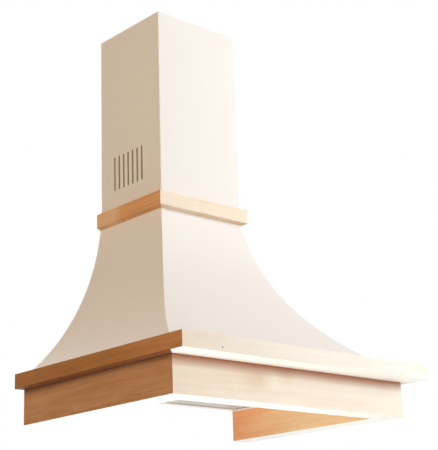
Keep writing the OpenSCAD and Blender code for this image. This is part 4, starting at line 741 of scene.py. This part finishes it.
def makeMeshTree():
    tree, given = startTree("expandedMetal", {
        "Cells": "Int", "Width": "Float", "Depth": "Float", "Diamond Width": "Float",
        "Diamond Depth": "Float", "Rise": "Float", "Open": "Float", "Layer Gap": "Float",
        "Finish": "Material"})
    points = addNode(tree, "ShaderNodeMath", {"operation": "ADD", 1: 1.0}, {0: given["Cells"]})
    grid = addNode(tree, "GeometryNodeMeshGrid", {}, {"Size X": given["Cells"], "Size Y": given["Cells"],
                                                      "Vertices X": points, "Vertices Y": points})
    spot = addNode(tree, "ShaderNodeSeparateXYZ", links={0: addNode(tree, "GeometryNodeInputPosition")})
    rowSum = addNode(tree, "ShaderNodeMath", {"operation": "ADD"}, {0: spot, 1: spot.outputs[1]})
    parity = addNode(tree, "ShaderNodeMath", {"operation": "PINGPONG", 1: 1.0}, {0: rowSum})
    lift = addNode(tree, "ShaderNodeMath", {"operation": "MULTIPLY"}, {0: parity, 1: given["Rise"]})
    raised = addNode(tree, "ShaderNodeCombineXYZ", links={2: lift})
    waved = addNode(tree, "GeometryNodeSetPosition", {}, {"Geometry": grid, "Offset": raised})
    turned = addNode(tree, "GeometryNodeTransform", {"Rotation": (0, 0, math.pi / 4)}, {"Geometry": waved})
    scale = addNode(tree, "ShaderNodeCombineXYZ", {2: math.sqrt(2)},
                    {0: given["Diamond Width"], 1: given["Diamond Depth"]})
    share = addNode(tree, "ShaderNodeVectorMath", {"operation": "SCALE", "Scale": 1 / math.sqrt(2)},
                    {0: scale})
    sheet = addNode(tree, "GeometryNodeTransform", {}, {"Geometry": turned, "Scale": share})
    layers = addNode(tree, "GeometryNodeJoinGeometry")
    for level, (shiftX, shiftY, grow) in enumerate(filterPack["layers"]):
        up = addNode(tree, "ShaderNodeMath", {"operation": "MULTIPLY", 1: float(level)},
                     {0: given["Layer Gap"]})
        shift = addNode(tree, "ShaderNodeCombineXYZ", {0: shiftX, 1: shiftY}, {2: up})
        layer = addNode(tree, "GeometryNodeTransform", {"Scale": (grow, grow, 1)},
                        {"Geometry": sheet, "Translation": shift})
        tree.links.new(layer.outputs[0], layers.inputs[0])
    place = addNode(tree, "ShaderNodeSeparateXYZ", links={0: addNode(tree, "GeometryNodeInputPosition")})
    outside = []
    for axis, span in ((0, "Width"), (1, "Depth")):
        half = addNode(tree, "ShaderNodeMath", {"operation": "MULTIPLY", 1: 0.5}, {0: given[span]})
        far = addNode(tree, "ShaderNodeMath", {"operation": "ABSOLUTE"}, {0: place.outputs[axis]})
        outside.append(addNode(tree, "ShaderNodeMath", {"operation": "GREATER_THAN"}, {0: far, 1: half}))
    either = addNode(tree, "ShaderNodeMath", {"operation": "MAXIMUM"}, {0: outside[0], 1: outside[1]})
    trimmed = addNode(tree, "GeometryNodeDeleteGeometry", {"domain": "FACE"},
                      {"Geometry": layers, "Selection": either})
    cells = addNode(tree, "GeometryNodeExtrudeMesh", {"mode": "FACES", "Offset Scale": 0.0,
                                                      "Individual": True}, {"Mesh": trimmed})
    shrunk = addNode(tree, "GeometryNodeScaleElements", {"domain": "FACE"},
                     {"Geometry": cells, "Selection": cells.outputs["Top"], "Scale": given["Open"]})
    opened = addNode(tree, "GeometryNodeDeleteGeometry", {"domain": "FACE"},
                     {"Geometry": shrunk, "Selection": cells.outputs["Top"]})
    endTree(tree, given, opened)
    return tree


meshTree = makeMeshTree()
for side in ("left", "right"):
    node = f"filter_{side}_mesh"
    low, high = (Vector(corner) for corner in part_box(node))
    size = high - low
    wide, deep = filterPack["diamondWidth"], filterPack["diamondDepth"]
    piece = bakeTree(node + "_strands", bpy.data.meshes.new("packBase"), meshTree, {
        "Cells": int(size.x / wide + size.y / deep) + filterPack["spareCells"], "Width": size.x - wide,
        "Depth": size.y - deep, "Diamond Width": wide, "Diamond Depth": deep, "Rise": filterPack["rise"],
        "Open": filterPack["open"], "Layer Gap": filterPack["layerGap"], "Finish": looks["filterMetal"]},
        wall=filterPack["sheet"], wallOffset=0.0)
    centre = (low + high) / 2
    piece.data.transform(Matrix.Translation((centre.x, centre.y, low.z + filterPack["stand"])))
    standFor(piece, node)
    print(node, "made:", len(piece.data.polygons), "faces", [round(v * 1000, 1) for v in size])


# CAD nodes that keep their shape

plainLooks = {
    "ivoryEnamel": ["dome_back_panel"],
    "traySteel": ["base_tray"],
    "zincSheet": ["volute_wrapper", "volute_left_plate", "volute_right_plate", "outlet_collar",
                  "motor_bracket", "chimney_bracket"],
    "filterMetal": ["filter_left_frame", "filter_right_frame"],
    "aluminium": ["lamp_left_can", "lamp_right_can", "damper_front", "damper_rear"],
    "zincPlate": ["damper_pin", "motor_shaft"],
    "motorPaint": ["motor_housing"],
    "greyPlastic": ["run_capacitor"],
    "blackPlastic": ["cable_gland", "switch_block", "impeller_disc", "impeller_left_cage",
                     "impeller_right_cage"],
    "chrome": ["lamp_left_ring", "lamp_right_ring"],
    "frostedGlass": ["lamp_left_lens", "lamp_right_lens"],
    "clearGlass": ["lamp_left_bulb", "lamp_right_bulb"],
}
for look, names in plainLooks.items():
    for node in names:
        for slot in nodes[node].material_slots:
            slot.material = looks[look]
print("CAD nodes dressed")


# Studio: the photograph's camera, soft boxes, a pale floor well below the hood, white behind

view = {"place": (-1.76777, -2.23725, -0.80367), "yaw": 42.115, "pitch": 16.692, "roll": -1.887,
        "lens": 98.08, "sensor": 36.0}
cameraData = bpy.data.cameras.new("photoCamera")
cameraData.sensor_width = view["sensor"]
cameraData.lens = view["lens"]
camera = bpy.data.objects.new("photoCamera", cameraData)
bpy.context.scene.collection.objects.link(camera)
camera.matrix_world = (Matrix.Translation(view["place"]) @ Matrix.Rotation(math.radians(-view["yaw"]), 4, "Z")
                       @ Matrix.Rotation(math.radians(90 + view["pitch"]), 4, "X")
                       @ Matrix.Rotation(math.radians(view["roll"]), 4, "Z"))
bpy.context.scene.camera = camera

softBoxes = {  # place, point it faces, width and height in metres, watts, colour
    "rightBox": {"at": (2.85, -2.25, 0.65), "to": (0.0, -0.3, -0.1), "size": (2.0, 2.6), "watts": 80,
                 "tint": "F0F9FF"},
    "highBox": {"at": (1.6, -2.4, 2.6), "to": (0.0, -0.3, -0.1), "size": (2.0, 1.4), "watts": 38,
                "tint": "F6FBFF"},
    "frontBox": {"at": (0.6, -3.45, 0.7), "to": (0.0, -0.3, -0.1), "size": (2.0, 1.6), "watts": 31,
                 "tint": "FFFBF6"},
    "leftBox": {"at": (-2.3, -0.4, 0.5), "to": (-0.1, -0.25, 0.0), "size": (1.2, 1.2), "watts": 26,
                "tint": "FFE9C9"},
    "backBox": {"at": (0.4, 2.6, 0.1), "to": (0.0, -0.1, 0.0), "size": (2.0, 2.0), "watts": 24,
                "tint": "FFF6EC"},
    "underBox": {"at": (-0.4, -0.38, -1.33), "to": (0.05, -0.35, 0.0), "size": (0.4, 0.4), "watts": 6.5,
                 "tint": "FFFEFA"},
    "lowBox": {"at": (-0.3, -0.8, -1.6), "to": (0.1, -0.4, -0.4), "size": (0.6, 0.6), "watts": 4.3,
               "tint": "FFFEFA"},
}
for name, box in softBoxes.items():
    lampData = bpy.data.lights.new(name, "AREA")
    lampData.shape = "RECTANGLE"
    lampData.size, lampData.size_y = box["size"]
    lampData.energy = box["watts"]
    lampData.color = linear(box["tint"])[:3]
    lamp = bpy.data.objects.new(name, lampData)
    bpy.context.scene.collection.objects.link(lamp)
    lamp.location = box["at"]
    lamp.rotation_mode = "QUATERNION"
    lamp.rotation_quaternion = (Vector(box["to"]) - Vector(box["at"])).to_track_quat("-Z", "Y")

floor = {"half": 20.0, "height": -2.05, "mirrored": 0.95, "glow": 0.5}
corners = [(x * floor["half"], y * floor["half"], floor["height"])
           for x, y in ((-1, -1), (1, -1), (1, 1), (-1, 1))]
floorMesh = bpy.data.meshes.new("floor")
floorMesh.from_pydata(corners, [], [(0, 1, 2, 3)])
floorPiece = bpy.data.objects.new("floor", floorMesh)
bpy.context.scene.collection.objects.link(floorPiece)
# matt studio paper: it takes the hood's shadow, and polished parts mirror it as white
paper, paperTree, paperShader = startMaterial("mattPaper", {"Base Color": linear("ECEAE6"),
                                                            "Roughness": 0.9})[:3]
paperRays = addNode(paperTree, "ShaderNodeLightPath")
paperWhite = addNode(paperTree, "ShaderNodeEmission", {"Color": (1, 1, 1, 1), "Strength": floor["mirrored"]})
paperSeen = addNode(paperTree, "ShaderNodeMath", {"operation": "MAXIMUM"},
                    {0: paperRays.outputs["Is Glossy Ray"], 1: paperRays.outputs["Is Transmission Ray"]})
# the lamps hang near the hood, so a glow that only the camera sees keeps the far floor pale
paperGlow = addNode(paperTree, "ShaderNodeEmission", {"Color": linear("F4F1EC")}, {
    "Strength": addNode(paperTree, "ShaderNodeMath", {"operation": "MULTIPLY", 1: floor["glow"]},
                        {0: paperRays.outputs["Is Camera Ray"]})})
paperLit = addNode(paperTree, "ShaderNodeAddShader", {}, {0: paperShader, 1: paperGlow})
paperMix = addNode(paperTree, "ShaderNodeMixShader", {}, {0: paperSeen, 1: paperLit, 2: paperWhite})
addNode(paperTree, "ShaderNodeOutputMaterial", {"is_active_output": True}, {"Surface": paperMix})
floorMesh.materials.append(paper)

world = bpy.data.worlds.new("studio")
bpy.context.scene.world = world
world.use_nodes = True
sky = world.node_tree
sky.nodes.clear()
rays = addNode(sky, "ShaderNodeLightPath")
direct = addNode(sky, "ShaderNodeMath", {"operation": "MAXIMUM"},
                 {0: rays.outputs["Is Camera Ray"], 1: rays.outputs["Is Glossy Ray"]})
shown = addNode(sky, "ShaderNodeMath", {"operation": "MAXIMUM"},
                {0: direct, 1: rays.outputs["Is Transmission Ray"]})
glow = addNode(sky, "ShaderNodeBackground", {"Color": linear("FFEDDA"), "Strength": 0.04})
white = addNode(sky, "ShaderNodeBackground", {"Color": (1, 1, 1, 1), "Strength": 1.0})
mixed = addNode(sky, "ShaderNodeMixShader", links={0: shown, 1: glow, 2: white})
addNode(sky, "ShaderNodeOutputWorld", links={"Surface": mixed})
bpy.context.scene.view_settings.view_transform = "Standard"
print("studio ready")
